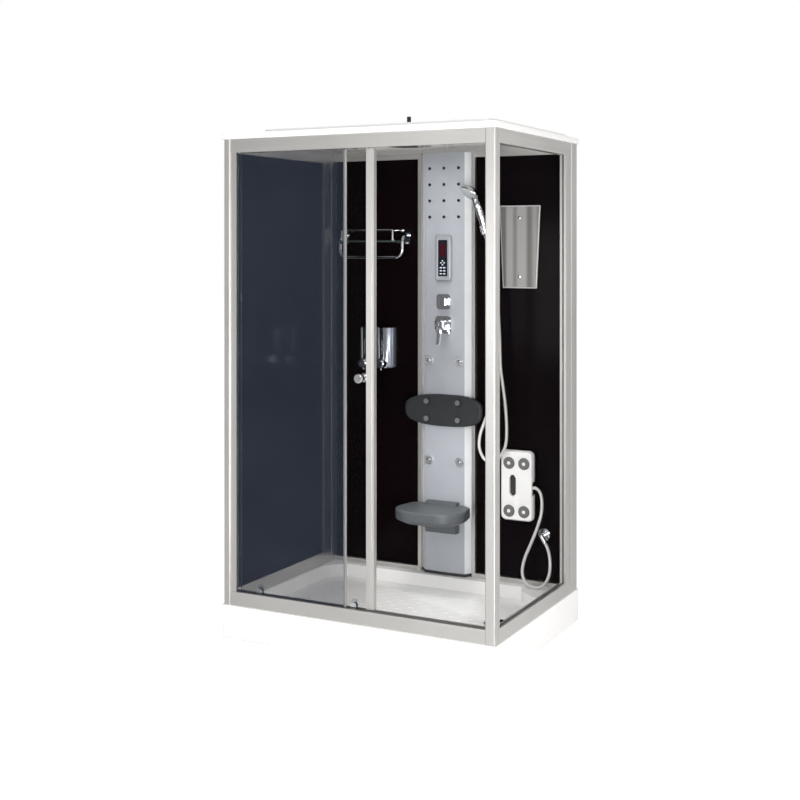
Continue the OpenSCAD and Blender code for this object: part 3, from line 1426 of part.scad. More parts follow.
tray();
support_frame();
levelling_feet();
waste_trap();
drain_cover();
corner_posts();
door_track_top();
door_track_bottom();
side_rails();
back_frame();
glazing_channels();
wall_glass();
side_glass();
fixed_glass();
glass_seals();
door_glass();
door_edge_profile();
door_knobs();
door_hangers();
top_roller_left();
top_roller_right();
lower_roller_left();
lower_roller_right();
tower_shell();
tower_base_cap();
mini_jets();
control_bezel();
control_lens();
valve_plates();
valve_bodies();
diverter_knob();
mixer_hub();
mixer_lever();
jet_bodies();
jet_nozzle_1();
jet_nozzle_2();
jet_nozzle_3();
jet_nozzle_4();
water_pipes();
massage_pad();
pad_nozzles();
seat_bracket();
seat();
shelf_glass();
shelf_rail();
soap_dispensers();
dispenser_button_left();
dispenser_button_right();
mirror_plate();  // mirror
hand_shower();
hand_shower_holder();
shower_hose();
foot_massager();
massager_discs();
massager_hose();
wall_fittings();
roof();
rain_head();
fan_grille();
fan_rotor();
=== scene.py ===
import math
from functools import partial

import bmesh
import bpy
from bpy.props import FloatProperty, FloatVectorProperty, IntProperty, PointerProperty
from mathutils import Matrix, Vector


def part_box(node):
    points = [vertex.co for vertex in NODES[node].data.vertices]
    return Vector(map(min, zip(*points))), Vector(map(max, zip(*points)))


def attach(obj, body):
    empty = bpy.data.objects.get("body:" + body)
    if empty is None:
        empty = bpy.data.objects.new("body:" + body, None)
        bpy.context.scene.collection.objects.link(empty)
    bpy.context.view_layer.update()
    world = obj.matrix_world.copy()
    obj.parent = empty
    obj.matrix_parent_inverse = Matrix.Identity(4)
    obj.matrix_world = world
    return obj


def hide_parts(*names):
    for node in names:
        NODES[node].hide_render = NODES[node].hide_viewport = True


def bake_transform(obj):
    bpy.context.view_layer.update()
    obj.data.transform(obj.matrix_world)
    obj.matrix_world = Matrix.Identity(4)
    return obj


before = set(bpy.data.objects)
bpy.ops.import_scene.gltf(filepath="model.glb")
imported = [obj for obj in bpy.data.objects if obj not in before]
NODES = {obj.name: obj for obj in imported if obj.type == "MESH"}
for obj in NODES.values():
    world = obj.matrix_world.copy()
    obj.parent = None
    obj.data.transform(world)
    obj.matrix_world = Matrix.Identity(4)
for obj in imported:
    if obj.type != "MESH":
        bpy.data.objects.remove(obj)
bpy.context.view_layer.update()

bl_info = {
    "name": "Shower cabin",
    "version": (1, 0, 0),
    "blender": (4, 5, 0),
    "location": "3D View > Sidebar > Shower",
    "description": "Dresses the frame of a shower cabin with its finishes, soft parts and small fittings",
    "category": "Object",
}

MM = 0.001
MERGE_WITHIN = 0.02 * MM


# Colours and nodes

def linear(code):
    """An sRGB hex code as the linear colour that shaders take."""
    parts = [int(code[i:i + 2], 16) / 255 for i in (1, 3, 5)]
    return tuple(c / 12.92 if c <= 0.04045 else ((c + 0.055) / 1.055) ** 2.4 for c in parts) + (1.0,)


def toned(colour, factor):
    """A colour of the sidebar or an sRGB hex code, lighter or darker, as a shader takes it."""
    colour = linear(colour) if isinstance(colour, str) else colour
    return tuple(min(1.0, c * factor) for c in colour[:3]) + (1.0,)


def add(tree, kind, inputs=None, **settings):
    """One shader node with its settings, and its inputs set or linked: a node gives its first output in use.
    A Mix node mixes colours."""
    made = tree.nodes.new("ShaderNode" + kind)
    if kind == "Mix":
        made.data_type = "RGBA"
    for name, value in settings.items():
        setattr(made, name, value)
    for key, value in (inputs or {}).items():
        if isinstance(value, bpy.types.Node):
            value = next(socket for socket in value.outputs if socket.enabled)
        if isinstance(value, bpy.types.NodeSocket):
            tree.links.new(value, made.inputs[key])
        else:
            made.inputs[key].default_value = value
    return made


def blank(name):
    """A material with an empty tree, what adds nodes to it, and the Object coordinate to draw its pattern on."""
    material = bpy.data.materials.new(name)
    material.use_nodes = True
    material.node_tree.nodes.clear()
    node = partial(add, material.node_tree)
    return material, node, node("TexCoord").outputs["Object"]


def finish_with(material, **inputs):
    """Ends a tree in one Principled shader and the output."""
    named_inputs = {key.replace("_", " "): value for key, value in inputs.items()}
    shader = add(material.node_tree, "BsdfPrincipled", named_inputs)
    add(material.node_tree, "OutputMaterial", {"Surface": shader})
    return material


def facing_along(node, axis):
    """One where the surface faces along an axis and zero where it lies across, as the square of its normal."""
    facing = node("SeparateXYZ", {0: node("NewGeometry").outputs["Normal"]})
    return node("Math", {0: facing.outputs[axis], 1: facing.outputs[axis]}, operation="MULTIPLY")


def ribs_along(node, run, pitch):
    """Waves from zero to one along a run in metres, one every pitch."""
    turns = node("Math", {0: run, 1: 2 * math.pi / pitch}, operation="MULTIPLY")
    return node("MapRange", {"Value": node("Math", {0: turns}, operation="SINE"), "From Min": -1.0, "From Max": 1.0})


# Finishes

def vacuum_formed_acrylic(name, colour):
    """White acrylic sheet drawn over a mould: it shines, and its surface waves slightly."""
    material, node, at = blank(name)
    # Waves of a formed sheet are about 60 mm long, and lint under the gloss about 3 mm
    wave = node("TexNoise", {"Vector": at, "Scale": 1 / 0.06, "Detail": 2.0})
    lint = node("TexNoise", {"Vector": at, "Scale": 1 / 0.003, "Detail": 1.0})
    tone = node("Mix", {0: wave, 6: toned(colour, 0.97), 7: toned(colour, 1.02)})
    gloss = node("MapRange", {"Value": lint, "From Min": 0.3, "From Max": 0.7, "To Min": 0.14, "To Max": 0.26})
    bump = node("Bump", {"Height": wave, "Strength": 0.06, "Distance": 0.002})
    return finish_with(material, Base_Color=tone, Roughness=gloss, IOR=1.49, Normal=bump)


def anodised_aluminium(name, axis, colour):
    """Extruded aluminium, etched and anodised: satin, with die lines along the bar that stretch the light."""
    material, node, at = blank(name)
    # Die lines are some 0.2 mm apart, drawn 1.5 mm apart and 800 mm long so that they show
    fine = [1 / 0.0015, 1 / 0.0015, 1 / 0.0015]
    fine["XYZ".index(axis)] = 1 / 0.8
    stretched = node("Mapping", {"Vector": at, "Scale": fine})
    lines = node("TexNoise", {"Vector": stretched, "Scale": 1.0, "Detail": 3.0})
    cloud = node("TexNoise", {"Vector": at, "Scale": 1 / 0.3, "Detail": 2.0})
    both = node("Math", {0: lines, 1: cloud}, operation="ADD")
    spread = node("MapRange", {"Value": both, "From Min": 0.7, "From Max": 1.3})
    tone = node("Mix", {0: spread, 6: toned(colour, 0.94), 7: toned(colour, 1.04)})
    gloss = node("MapRange", {"Value": lines, "From Min": 0.3, "From Max": 0.7, "To Min": 0.36, "To Max": 0.5})
    bump = node("Bump", {"Height": lines, "Strength": 0.08, "Distance": 0.0003})
    return finish_with(material, Base_Color=tone, Metallic=1.0, Roughness=gloss, Normal=bump)


def chrome_plate(name, low, high, bright="#E2E3E6", dull="#CDCFD3"):
    """Nickel and chromium plate, buffed: a mirror, dulled in patches by dried water."""
    material, node, at = blank(name)
    # Water marks are about 12 mm across
    marks = node("TexNoise", {"Vector": at, "Scale": 1 / 0.012, "Detail": 3.0})
    spread = node("MapRange", {"Value": marks, "From Min": 0.4, "From Max": 0.75})
    tone = node("Mix", {0: spread, 6: linear(bright), 7: linear(dull)})
    gloss = node("MapRange", {"Value": spread, "To Min": low, "To Max": high})
    return finish_with(material, Base_Color=tone, Metallic=1.0, Roughness=gloss)


def toughened_glass(name, face_axis, colour, cover, edge="#4E5F5C", through=1.0):
    """Float glass, tempered: a body tint on and through its faces and a dense green-grey along its ground edges."""
    material, node, at = blank(name)
    # Roller waves of tempered glass are about 250 mm long
    wave = node("TexNoise", {"Vector": at, "Scale": 1 / 0.25, "Detail": 1.0})
    tone = node("Mix", {0: wave, 6: toned(colour, 0.9), 7: toned(colour, 1.1)})
    bump = node("Bump", {"Height": wave, "Strength": 0.02, "Distance": 0.002})
    face = node("Math", {0: facing_along(node, face_axis), 1: 0.5}, operation="GREATER_THAN")
    body = node("Mix", {0: face, 6: linear(edge), 7: tone})
    seen = node("MapRange", {"Value": face, "To Min": 0.9, "To Max": cover})
    skin = node("BsdfPrincipled", {"Base Color": body, "Roughness": 0.03, "IOR": 1.52, "Specular IOR Level": 0.08,
                                   "Normal": bump})
    clear = node("BsdfTransparent", {"Color": (through, through, through, 1.0)})
    both = node("MixShader", {0: seen, 1: clear, 2: skin})
    node("OutputMaterial", {"Surface": both})
    return material


def enamelled_glass(name, back, side):
    """Tempered glass with black enamel fired on its back: deep and glossy. Where it faces across, on the left wall,
    its colour is lifted to a bluer grey as painted reflection.
    """
    material, node, at = blank(name)
    # Roller waves about 300 mm long
    wave = node("TexNoise", {"Vector": at, "Scale": 1 / 0.3, "Detail": 1.0})
    # Painted reflection: faces along X, the left wall, take the lighter blue-grey side colour, faces across take the
    # black
    tone = node("Mix", {0: facing_along(node, "X"), 6: back, 7: side})
    deep = node("Mix", {0: wave, 6: (0.85, 0.85, 0.85, 1.0), 7: (1.15, 1.15, 1.15, 1.0)})
    body = node("Mix", {0: 1.0, 6: tone, 7: deep}, blend_type="MULTIPLY")
    bump = node("Bump", {"Height": wave, "Strength": 0.02, "Distance": 0.002})
    return finish_with(material, Base_Color=body, Roughness=0.12, IOR=1.52, Specular_IOR_Level=0.03, Normal=bump)


def moulded(name, colour, rough, grain_mm=1.2, strength=0.12, metallic=0.0, level=0.5):
    """A moulded plastic, or a cast or painted metal: its fine grain breaks up the light, and its tone drifts."""
    material, node, at = blank(name)
    grain = node("TexNoise", {"Vector": at, "Scale": 1 / (grain_mm * MM), "Detail": 2.0})
    # Tone drifts over about 80 mm
    drift = node("TexNoise", {"Vector": at, "Scale": 1 / 0.08, "Detail": 2.0})
    tone = node("Mix", {0: drift, 6: toned(colour, 0.93), 7: toned(colour, 1.07)})
    gloss = node("MapRange", {"Value": grain, "From Min": 0.3, "From Max": 0.7, "To Min": rough - 0.05,
                              "To Max": rough + 0.08})
    bump = node("Bump", {"Height": grain, "Strength": strength, "Distance": 0.0004})
    return finish_with(material, Base_Color=tone, Metallic=metallic, Roughness=gloss,
                       Specular_IOR_Level=level, Normal=bump)


def skinned_foam(name, colour):
    """Polyurethane foam with a moulded skin: soft charcoal, finely pebbled like leather."""
    material, node, at = blank(name)
    # Pebbles of the skin are about 1.8 mm across
    pebble = node("TexVoronoi", {"Vector": at, "Scale": 1 / 0.0018})
    worn = node("TexNoise", {"Vector": at, "Scale": 1 / 0.07, "Detail": 3.0})
    tone = node("Mix", {0: worn, 6: toned(colour, 0.85), 7: toned(colour, 1.15)})
    bump = node("Bump", {"Height": pebble, "Strength": 0.2, "Distance": 0.0004})
    return finish_with(material, Base_Color=tone, Roughness=0.48, Specular_IOR_Level=0.22, Normal=bump)


def sleeved_hose(name, colour):
    """Silver spiral in a clear vinyl sleeve: fine rings under a smooth glossy skin."""
    material, node, at = blank(name)
    run = node("SeparateXYZ", {0: node("UVMap", uv_map="run")})
    # One turn of the spiral every 3 mm of the hose
    ring = ribs_along(node, run.outputs["X"], 0.003)
    tone = node("Mix", {0: ring, 6: toned(colour, 0.72), 7: toned(colour, 1.0)})
    bump = node("Bump", {"Height": ring, "Strength": 0.15, "Distance": 0.0003})
    return finish_with(material, Base_Color=tone, Metallic=0.15, Roughness=0.3, Normal=bump)


def silvered_glass(name):
    """Float glass silvered on its back, drawn as a painted reflection: grey, with soft upright bands of what it
    reflects.
    """
    material, node, at = blank(name)
    # Painted reflection bands about 50 mm wide
    across = node("Math", {0: node("SeparateXYZ", {0: at}).outputs["X"], 1: 1 / 0.05}, operation="MULTIPLY")
    painted_reflection_band = node("TexNoise", {"W": across, "Scale": 1.0, "Detail": 0.0}, noise_dimensions="1D")
    spread = node("MapRange", {"Value": painted_reflection_band, "From Min": 0.42, "From Max": 0.58})
    tone = node("Mix", {0: spread, 6: linear("#787674"), 7: linear("#ABA9A8")})
    return finish_with(material, Base_Color=tone, Metallic=0.15, Roughness=0.3, Specular_IOR_Level=0.15)


def display_lens(name, window, cover):
    """Tinted polycarbonate over a display: black, with the wine-red filter of the readout in its upper part."""
    material, node, at = blank(name)
    low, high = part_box("control_lens")
    spot = node("SeparateXYZ", {0: at})
    wide, tall = high[0] - low[0], high[2] - low[2]
    # The window has two thirds of the width, and its middle lies at 0.72 of the height
    up = node("Math", {0: spot.outputs["Z"], 1: low[2] + 0.72 * tall, 2: 0.18 * tall}, operation="COMPARE")
    over = node("Math", {0: spot.outputs["X"], 1: 0.0, 2: 0.33 * wide}, operation="COMPARE")
    shown = node("Math", {0: up, 1: over}, operation="MULTIPLY")
    # Haze of a hard-coated plastic, about 4 mm across
    haze = node("TexNoise", {"Vector": at, "Scale": 1 / 0.004})
    tone = node("Mix", {0: shown, 6: cover, 7: window})
    gloss = node("MapRange", {"Value": haze, "To Min": 0.12, "To Max": 0.2})
    return finish_with(material, Base_Color=tone, Roughness=gloss, Specular_IOR_Level=0.25)


def ribbed_disc(name, colour, centre, apart, hub_mm):
    """Soft plastic massage disc: concentric ribs round a pale hub, each rib lighter on its crest and darker in its
    trough as painted highlight and shade.
    """
    material, node, at = blank(name)
    spot = node("SeparateXYZ", {0: at})
    squares = []
    for axis, middle, half in (("X", centre[0], apart[0]), ("Z", centre[1], apart[1])):
        # The four discs lie alike about their common centre, so one stands for all
        off = node("Math", {0: spot.outputs[axis], 1: middle * MM}, operation="SUBTRACT")
        off = node("Math", {0: node("Math", {0: off}, operation="ABSOLUTE"), 1: half * MM}, operation="SUBTRACT")
        squares.append(node("Math", {0: off, 1: 2.0}, operation="POWER"))
    total = node("Math", {0: squares[0], 1: squares[1]}, operation="ADD")
    radius = node("Math", {0: total, 1: 0.5}, operation="POWER")
    # Ribs 3 mm apart
    rib = ribs_along(node, radius, 0.003)
    outer = node("Math", {0: radius, 1: hub_mm * MM}, operation="GREATER_THAN")
    # Painted highlight and shade: the grey follows the rib wave, from 0.7 to 1.3 times the colour
    grey = node("Mix", {0: rib, 6: toned(colour, 0.7), 7: toned(colour, 1.3)})
    tone = node("Mix", {0: outer, 6: linear("#F2F1EF"), 7: grey})
    bump = node("Bump", {"Height": rib, "Strength": 0.5, "Distance": 0.0006})
    return finish_with(material, Base_Color=tone, Roughness=0.4, Normal=bump)


def capped_head(name, border, low, high):
    """Chromed plastic below a height and black moulded plastic above it, where the hose union sits on the roof."""
    material, node, at = blank(name)
    height = node("SeparateXYZ", {0: at}).outputs["Z"]
    above = node("Math", {0: height, 1: border}, operation="GREATER_THAN")
    marks = node("TexNoise", {"Vector": at, "Scale": 1 / 0.012, "Detail": 3.0})
    shine = node("Mix", {0: marks, 6: toned(high, 0.95), 7: toned(high, 1.05)})
    tone = node("Mix", {0: above, 6: shine, 7: toned(low, 1.0)})
    metal = node("MapRange", {"Value": above, "To Min": 1.0, "To Max": 0.0})
    gloss = node("MapRange", {"Value": above, "To Min": 0.1, "To Max": 0.45})
    return finish_with(material, Base_Color=tone, Metallic=metal, Roughness=gloss)


def clear_ribbed(name, colour):
    """Clear moulded styrene over a dark wall: smoky, with upright ribs, each lighter on its crest and darker in its
    trough as painted highlight and shade.
    """
    material, node, at = blank(name)
    # Ribs 5 mm apart
    rib = ribs_along(node, node("SeparateXYZ", {0: at}).outputs["X"], 0.005)
    # Painted highlight and shade: the colour follows the rib wave, from half to one and a half times the tone
    tone = node("Mix", {0: rib, 6: toned(colour, 0.5), 7: toned(colour, 1.5)})
    bump = node("Bump", {"Height": rib, "Strength": 0.6, "Distance": 0.0012})
    return finish_with(material, Base_Color=tone, Metallic=0.6, Roughness=0.18, Normal=bump)


# Modelling

def leave():
    """Back to object mode."""
    bpy.ops.object.mode_set(mode="OBJECT")


def deselect():
    """Object mode with nothing selected."""
    if bpy.context.object is not None and bpy.context.object.mode != "OBJECT":
        leave()
    bpy.ops.object.select_all(action="DESELECT")


def take(piece):
    """Only this piece selected and active."""
    deselect()
    piece.select_set(True)
    bpy.context.view_layer.objects.active = piece


def open_up(piece):
    """Edit mode with the whole piece selected."""
    take(piece)
    bpy.ops.object.mode_set(mode="EDIT")
    bpy.ops.mesh.select_all(action="SELECT")


def settle(name):
    """The primitive just added, named, with its place moved into its mesh."""
    piece = bpy.context.object
    piece.name = name
    piece.data.name = name
    bpy.ops.object.transform_apply(location=True, rotation=True, scale=True)
    return piece


def block(name, low, high):
    """A box between two corners in millimetres, as a start."""
    deselect()
    bpy.ops.mesh.primitive_cube_add(size=1, location=[(a + b) / 2 * MM for a, b in zip(low, high)])
    bpy.context.object.scale = [(b - a) * MM for a, b in zip(low, high)]
    return settle(name)


def turned(name, profile, centre, axis, sides=48):
    """A turned form: rings of radius and height in millimetres, drawn up one after another along an axis."""
    deselect()
    bpy.ops.mesh.primitive_circle_add(vertices=sides, radius=profile[0][0] * MM, fill_type="NGON",
                                      location=(0, 0, profile[0][1] * MM))
    piece = settle(name)
    open_up(piece)
    for (r0, z0), (r1, z1) in zip(profile, profile[1:]):
        bpy.ops.mesh.extrude_region_move(TRANSFORM_OT_translate={"value": (0, 0, (z1 - z0) * MM)})
        bpy.ops.transform.resize(value=(r1 / r0, r1 / r0, 1.0), center_override=(0, 0, z1 * MM))
    bpy.ops.mesh.select_all(action="SELECT")
    bpy.ops.mesh.normals_make_consistent(inside=False)
    leave()
    turn = Vector(axis).to_track_quat("Z", "Y").to_matrix().to_4x4()
    piece.data.transform(Matrix.Translation(Vector(centre) * MM) @ turn)
    return piece


def choose(piece, kind, test):
    """Edit mode with the faces or edges selected whose middle, in millimetres, and normal or run pass a test."""
    take(piece)
    bpy.ops.object.mode_set(mode="EDIT")
    bpy.ops.mesh.select_mode(type=kind)
    bpy.ops.mesh.select_all(action="DESELECT")
    mesh = bmesh.from_edit_mesh(piece.data)
    if kind == "FACE":
        for face in mesh.faces:
            face.select_set(bool(test(face.calc_center_median() / MM, face.normal)))
    else:
        for edge in mesh.edges:
            a, b = (corner.co for corner in edge.verts)
            edge.select_set(bool(test((a + b) / 2 / MM, (b - a).normalized())))
    mesh.select_flush_mode()
    bmesh.update_edit_mesh(piece.data)


def modify(piece, kind, **settings):
    """Adds one modifier and applies it."""
    take(piece)
    modifier = piece.modifiers.new(kind.title(), kind)
    for name, value in settings.items():
        setattr(modifier, name, value)
    bpy.ops.object.modifier_apply(modifier=modifier.name)


def smooth(piece, degrees=35):
    """Smooth shading, but for the edges that turn by more than so many degrees."""
    take(piece)
    bpy.ops.object.shade_smooth_by_angle(angle=math.radians(degrees))


def linked(name, mesh):
    """An object of the scene round a mesh."""
    piece = bpy.data.objects.new(name, mesh)
    mesh.name = name
    bpy.context.scene.collection.objects.link(piece)
    return piece


def knit(name, mesh):
    """A piece from the corners and faces put together in a bmesh, its normals outward."""
    bmesh.ops.recalc_face_normals(mesh, faces=mesh.faces)
    data = bpy.data.meshes.new(name)
    mesh.to_mesh(data)
    mesh.free()
    return linked(name, data)


def merged_copy(node, name, flat=1.0):
    """A copy of a CAD node with its loose triangles merged and its faces joined that are flat to so many degrees."""
    piece = linked(name, NODES[node].data.copy())
    take(piece)
    bpy.ops.mesh.customdata_custom_splitnormals_clear()
    open_up(piece)
    bpy.ops.mesh.remove_doubles(threshold=MERGE_WITHIN)
    bpy.ops.mesh.dissolve_limited(angle_limit=math.radians(flat))
    leave()
    return piece


def eased_copy(node, name, edge_mm):
    """A copy of a CAD node with its sharp edges eased."""
    piece = merged_copy(node, name)
    modify(piece, "BEVEL", width=edge_mm * MM, segments=3, limit_method="ANGLE",
           angle_limit=math.radians(50), harden_normals=False)
    smooth(piece, 40)
    return piece


def melted_copy(node, name, voxel_mm, passes):
    """A copy of a CAD node as one soft moulded skin."""
    piece = merged_copy(node, name)
    modify(piece, "REMESH", mode="VOXEL", voxel_size=voxel_mm * MM)
    modify(piece, "SMOOTH", factor=0.5, iterations=passes)
    take(piece)
    bpy.ops.object.shade_smooth()
    return piece


def joined(pieces, name):
    """The pieces as one, under a new name."""
    deselect()
    for piece in pieces:
        piece.select_set(True)
    bpy.context.view_layer.objects.active = pieces[0]
    bpy.ops.object.join()
    pieces[0].name = name
    pieces[0].data.name = name
    return pieces[0]


def dress(thing, *materials):
    """Puts materials on a piece, or on the CAD nodes named in a string."""
    for piece in [NODES[name] for name in thing.split()] if isinstance(thing, str) else [thing]:
        piece.data.materials.clear()
        for material in materials:
            piece.data.materials.append(material)


def paint(piece, index, test):
    """Gives the faces whose middle in millimetres and normal pass a test another of the piece's materials."""
    for face in piece.data.polygons:
        if test(face.center / MM, face.normal):
            face.material_index = index


def place(piece, body, slot, *nodes):
    """A finished piece rides on its body and stands for its CAD nodes; its slot is not used."""
    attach(piece, body)
    if nodes:
        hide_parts(*nodes)
    return piece


def stand_for(node, piece, body, slot, *materials):
    """A copy of a CAD node takes its materials, its body and the place of the node; its slot is not used."""
    dress(piece, *materials)
    return place(piece, body, slot, node)


# Sizes and colours of the sidebar

def colour_of(code, name, text):
    """A colour of the sidebar from its sRGB hex code."""
    return FloatVectorProperty(name=name, description=text, default=linear(code)[:3], size=3, min=0.0, max=1.0,
                               subtype="COLOR")


def size_of(default, low, high, name, text):
    """A length of the sidebar, in metres."""
    return FloatProperty(name=name, description=text, default=default, min=low, max=high, unit="LENGTH")


class ShowerSizes(bpy.types.PropertyGroup):
    tray_edge: size_of(0.005, 0.001, 0.01, "Tray edge", "Rounding of the edges of the tray")
    roof_edge: size_of(0.003, 0.001, 0.008, "Roof edge", "Rounding of the edges of the roof")
    stud_pitch_x: size_of(0.087, 0.05, 0.15, "Stud pitch across", "Distance between anti-slip studs across the tray")
    stud_pitch_y: size_of(0.0425, 0.03, 0.15, "Stud pitch along",
                          "Distance between anti-slip studs from front to back")
    stud_width: size_of(0.034, 0.01, 0.06, "Stud width", "Width of one anti-slip stud")
    stud_height: size_of(0.0016, 0.0005, 0.004, "Stud height", "Height of one anti-slip stud above the basin floor")
    pad_crown: size_of(0.004, 0.0, 0.01, "Pad crown", "How far the middle of the back pad stands proud")
    hose_width: size_of(0.014, 0.008, 0.02, "Hose width", "Outer diameter of both hoses")
    hose_sides: IntProperty(name="Hose sides", description="Number of sides of the hose tubes",
                            default=20, min=8, max=40)


class ShowerColours(bpy.types.PropertyGroup):
    acrylic: colour_of("#F4F3F1", "Acrylic", "White of the tray and the roof")
    aluminium: colour_of("#D4D2CF", "Aluminium", "Anodised frame")
    column: colour_of("#AEB2B8", "Column", "Satin silver panel of the column")
    door_glass: colour_of("#2A2A2C", "Door glass", "Body tint of the sliding door")
    front_glass: colour_of("#363D4C", "Front glass", "Body tint of the fixed pane")
    wall: colour_of("#0D0709", "Wall glass", "Black enamel of the back wall")
    # The left wall's blue-grey is black enamel lightened as painted reflection
    side_wall_painted_reflection: colour_of("#23262D", "Side wall glass", "Black enamel of the left wall")
    pad: colour_of("#303234", "Back pad", "Skin of the foamed back pad")
    seat: colour_of("#54585B", "Seat", "Moulded seat and its bracket")
    silver: colour_of("#BFC2C7", "Silver paint", "Painted plastic of the controls")
    white: colour_of("#F3F2F0", "White plastic", "Shell of the foot massager")
    hose: colour_of("#DEDCD9", "Hose", "Skin of both hoses")
    disc: colour_of("#6E6D6C", "Discs", "Ribbed discs of the foot massager")


# Hoses

SHOWER_ROUTE = [
    (238.3, 365.5, 1686.6), (241, 368, 1674), (246, 371, 1648), (254, 374, 1600), (264, 376, 1540),
    (273, 377, 1470), (281, 377, 1400), (287, 376, 1330), (291, 376, 1260), (293, 376, 1190), (296, 376, 1120),
    (304, 376, 1060), (313, 376, 1000), (320, 376, 940), (325, 375, 880), (326, 375, 830), (323, 374, 782),
    (312, 373, 746), (287, 372, 711), (255, 372, 688), (222, 373, 699), (202, 375, 722), (189, 379, 758),
    (190, 386, 806), (202, 393, 850), (216, 397, 890), (227, 398, 922), (230, 398, 936), (230, 398, 948)]
MASSAGER_ROUTE = [
    (440, 403, 585), (454, 403, 585), (470, 402, 576), (481, 401, 556), (486, 399, 530), (487, 396, 500),
    (484, 393, 468), (476, 389, 436), (466, 386, 405), (450, 381, 362), (433, 377, 320), (419, 373, 286),
    (409, 371, 252), (404, 369, 218), (408, 368, 190), (422, 367, 166), (446, 366, 152), (474, 367, 150),
    (499, 371, 159), (517, 376, 182), (528, 381, 214), (530, 386, 250), (526, 391, 285), (518, 395, 313),
    (509, 398, 332), (502, 398, 344)]


def smooth_route(points, steps=5):
    """A curve through the points, in metres, with steps between each two."""
    marks = [Vector(p) * MM for p in points]
    marks = [marks[0] * 2 - marks[1]] + marks + [marks[-1] * 2 - marks[-2]]
    line = []
    for a, b, c, d in zip(marks, marks[1:], marks[2:], marks[3:]):
        for i in range(steps):
            t = i / steps
            line.append(0.5 * ((2 * b) + (c - a) * t + (2 * a - 5 * b + 4 * c - d) * t * t
                               + (3 * b - a - 3 * c + d) * t ** 3))
    return line + [marks[-2]]


def hose_tube(name, points, width, sides):
    """A hose as a tube, its length along it kept as its map, and that length in metres."""
    line = smooth_route(points)
    mesh = bmesh.new()
    run_map = mesh.loops.layers.uv.new("run")
    side = Vector((0, 1, 0))
    rings, runs, run = [], [], 0.0
    for i, point in enumerate(line):
        ahead = (line[min(i + 1, len(line) - 1)] - line[max(i - 1, 0)]).normalized()
        side = (side - ahead * side.dot(ahead)).normalized()
        other = ahead.cross(side)
        run += (point - line[i - 1]).length if i else 0.0
        runs.append(run)
        rings.append([mesh.verts.new(point + width / 2 * (math.cos(a) * side + math.sin(a) * other))
                      for a in (2 * math.pi * k / sides for k in range(sides))])
    for ring, far, at, on in zip(rings, rings[1:], runs, runs[1:]):
        for k in range(sides):
            n = (k + 1) % sides
            face = mesh.faces.new((ring[k], ring[n], far[n], far[k]))
            for loop, mark in zip(face.loops, ((at, k), (at, k + 1), (on, k + 1), (on, k))):
                loop[run_map].uv = (mark[0], mark[1] / sides)
    mesh.faces.new(list(reversed(rings[0])))
    mesh.faces.new(rings[-1])
    piece = knit(name, mesh)
    smooth(piece, 50)
    return piece, line, run


# Fitted to the corners of the cabin in the photo
CAMERA_AT = (2.538, -4.915, 1.669)
CAMERA_HEADING = 27.506
CAMERA_LENS = 57.01
CAMERA_SENSOR = 36
CAMERA_SHIFT_Y = -0.192
# Place, aim, size and power of each lamp: three in front, two on the right and two small ones inside the cabin
LAMPS = (
    ((1.0, -4.6, 4.4), (0, 0, 1.0), 3.0, 90),
    ((2.6, -4.2, 0.6), (0.1, 0.35, 0.2), 1.6, 140),
    ((-1.1, -4.2, 1.3), (0.3, 0, 1.1), 1.1, 17),
    ((4.2, 1.8, 1.9), (0.5, 0, 1.0), 2.5, 42),
    ((4.6, -0.4, 1.5), (0.1, 0.2, 1.0), 1.6, 32),
    ((-0.05, -0.12, 2.09), (-0.05, -0.15, 0.0), 0.5, 5),
    ((0.0, -0.1, 0.95), (0.0, -0.08, 0.0), 0.35, 3.5))
FLOOR_SIZE = 60
WHITE = (1.0, 1.0, 1.0, 1.0)
FLOOR_GREY = (0.85, 0.85, 0.85, 1.0)
FLOOR_GLOW = 0.7
SKY_LIGHT = 0.42


def looking(tree):
    """One for the rays that show the background, straight or through glass, and zero for those that light."""
    rays = add(tree, "LightPath")
    return add(tree, "Math", {0: rays.outputs["Is Camera Ray"], 1: rays.outputs["Is Transmission Ray"]},
               operation="MAXIMUM")


class SHOWER_OT_stage(bpy.types.Operator):
    """Sets the camera, the plain floor and the soft light"""
    bl_idname = "shower.stage"
    bl_label = "Stage"

    def execute(self, context):
        scene = context.scene
        scene.view_settings.view_transform = "Standard"
        deselect()
        bpy.ops.object.camera_add(location=CAMERA_AT, rotation=(math.radians(90), 0, math.radians(CAMERA_HEADING)))
        camera = context.object
        camera.data.lens = CAMERA_LENS
        camera.data.sensor_width = CAMERA_SENSOR
        camera.data.shift_y = CAMERA_SHIFT_Y
        scene.camera = camera
        for place_at, aim, size, power in LAMPS:
            turn = (Vector(aim) - Vector(place_at)).to_track_quat("-Z", "Y").to_euler()
            bpy.ops.object.light_add(type="AREA", location=place_at, rotation=turn)
            context.object.data.size = size
            context.object.data.energy = power
            context.object.visible_camera = False
            # The two small lamps inside the cabin leave no image of themselves in the glass
            context.object.visible_glossy = size > 1
        deselect()
        bpy.ops.mesh.primitive_plane_add(size=FLOOR_SIZE, location=(0, 0, 0))
        floor = context.object
        floor.name = "floor"
        material, node = blank("studio_floor")[:2]
        tone = node("BsdfDiffuse", {"Color": FLOOR_GREY})
        glow = node("Emission", {"Color": WHITE, "Strength": FLOOR_GLOW})
        seen = looking(material.node_tree)
        lit = node("AddShader", {0: tone, 1: glow})
        both = node("MixShader", {0: seen, 1: tone, 2: lit})
        node("OutputMaterial", {"Surface": both})
        floor.data.materials.append(material)
        world = bpy.data.worlds.new("studio")
        world.use_nodes = True
        scene.world = world
        tree = world.node_tree
        tree.nodes.clear()
        soft = add(tree, "Background", {"Color": WHITE, "Strength": SKY_LIGHT})
        white = add(tree, "Background", {"Color": WHITE, "Strength": 1.0})
        both = add(tree, "MixShader", {0: looking(tree), 1: soft, 2: white})
        add(tree, "OutputWorld", {"Surface": both})
        return {"FINISHED"}


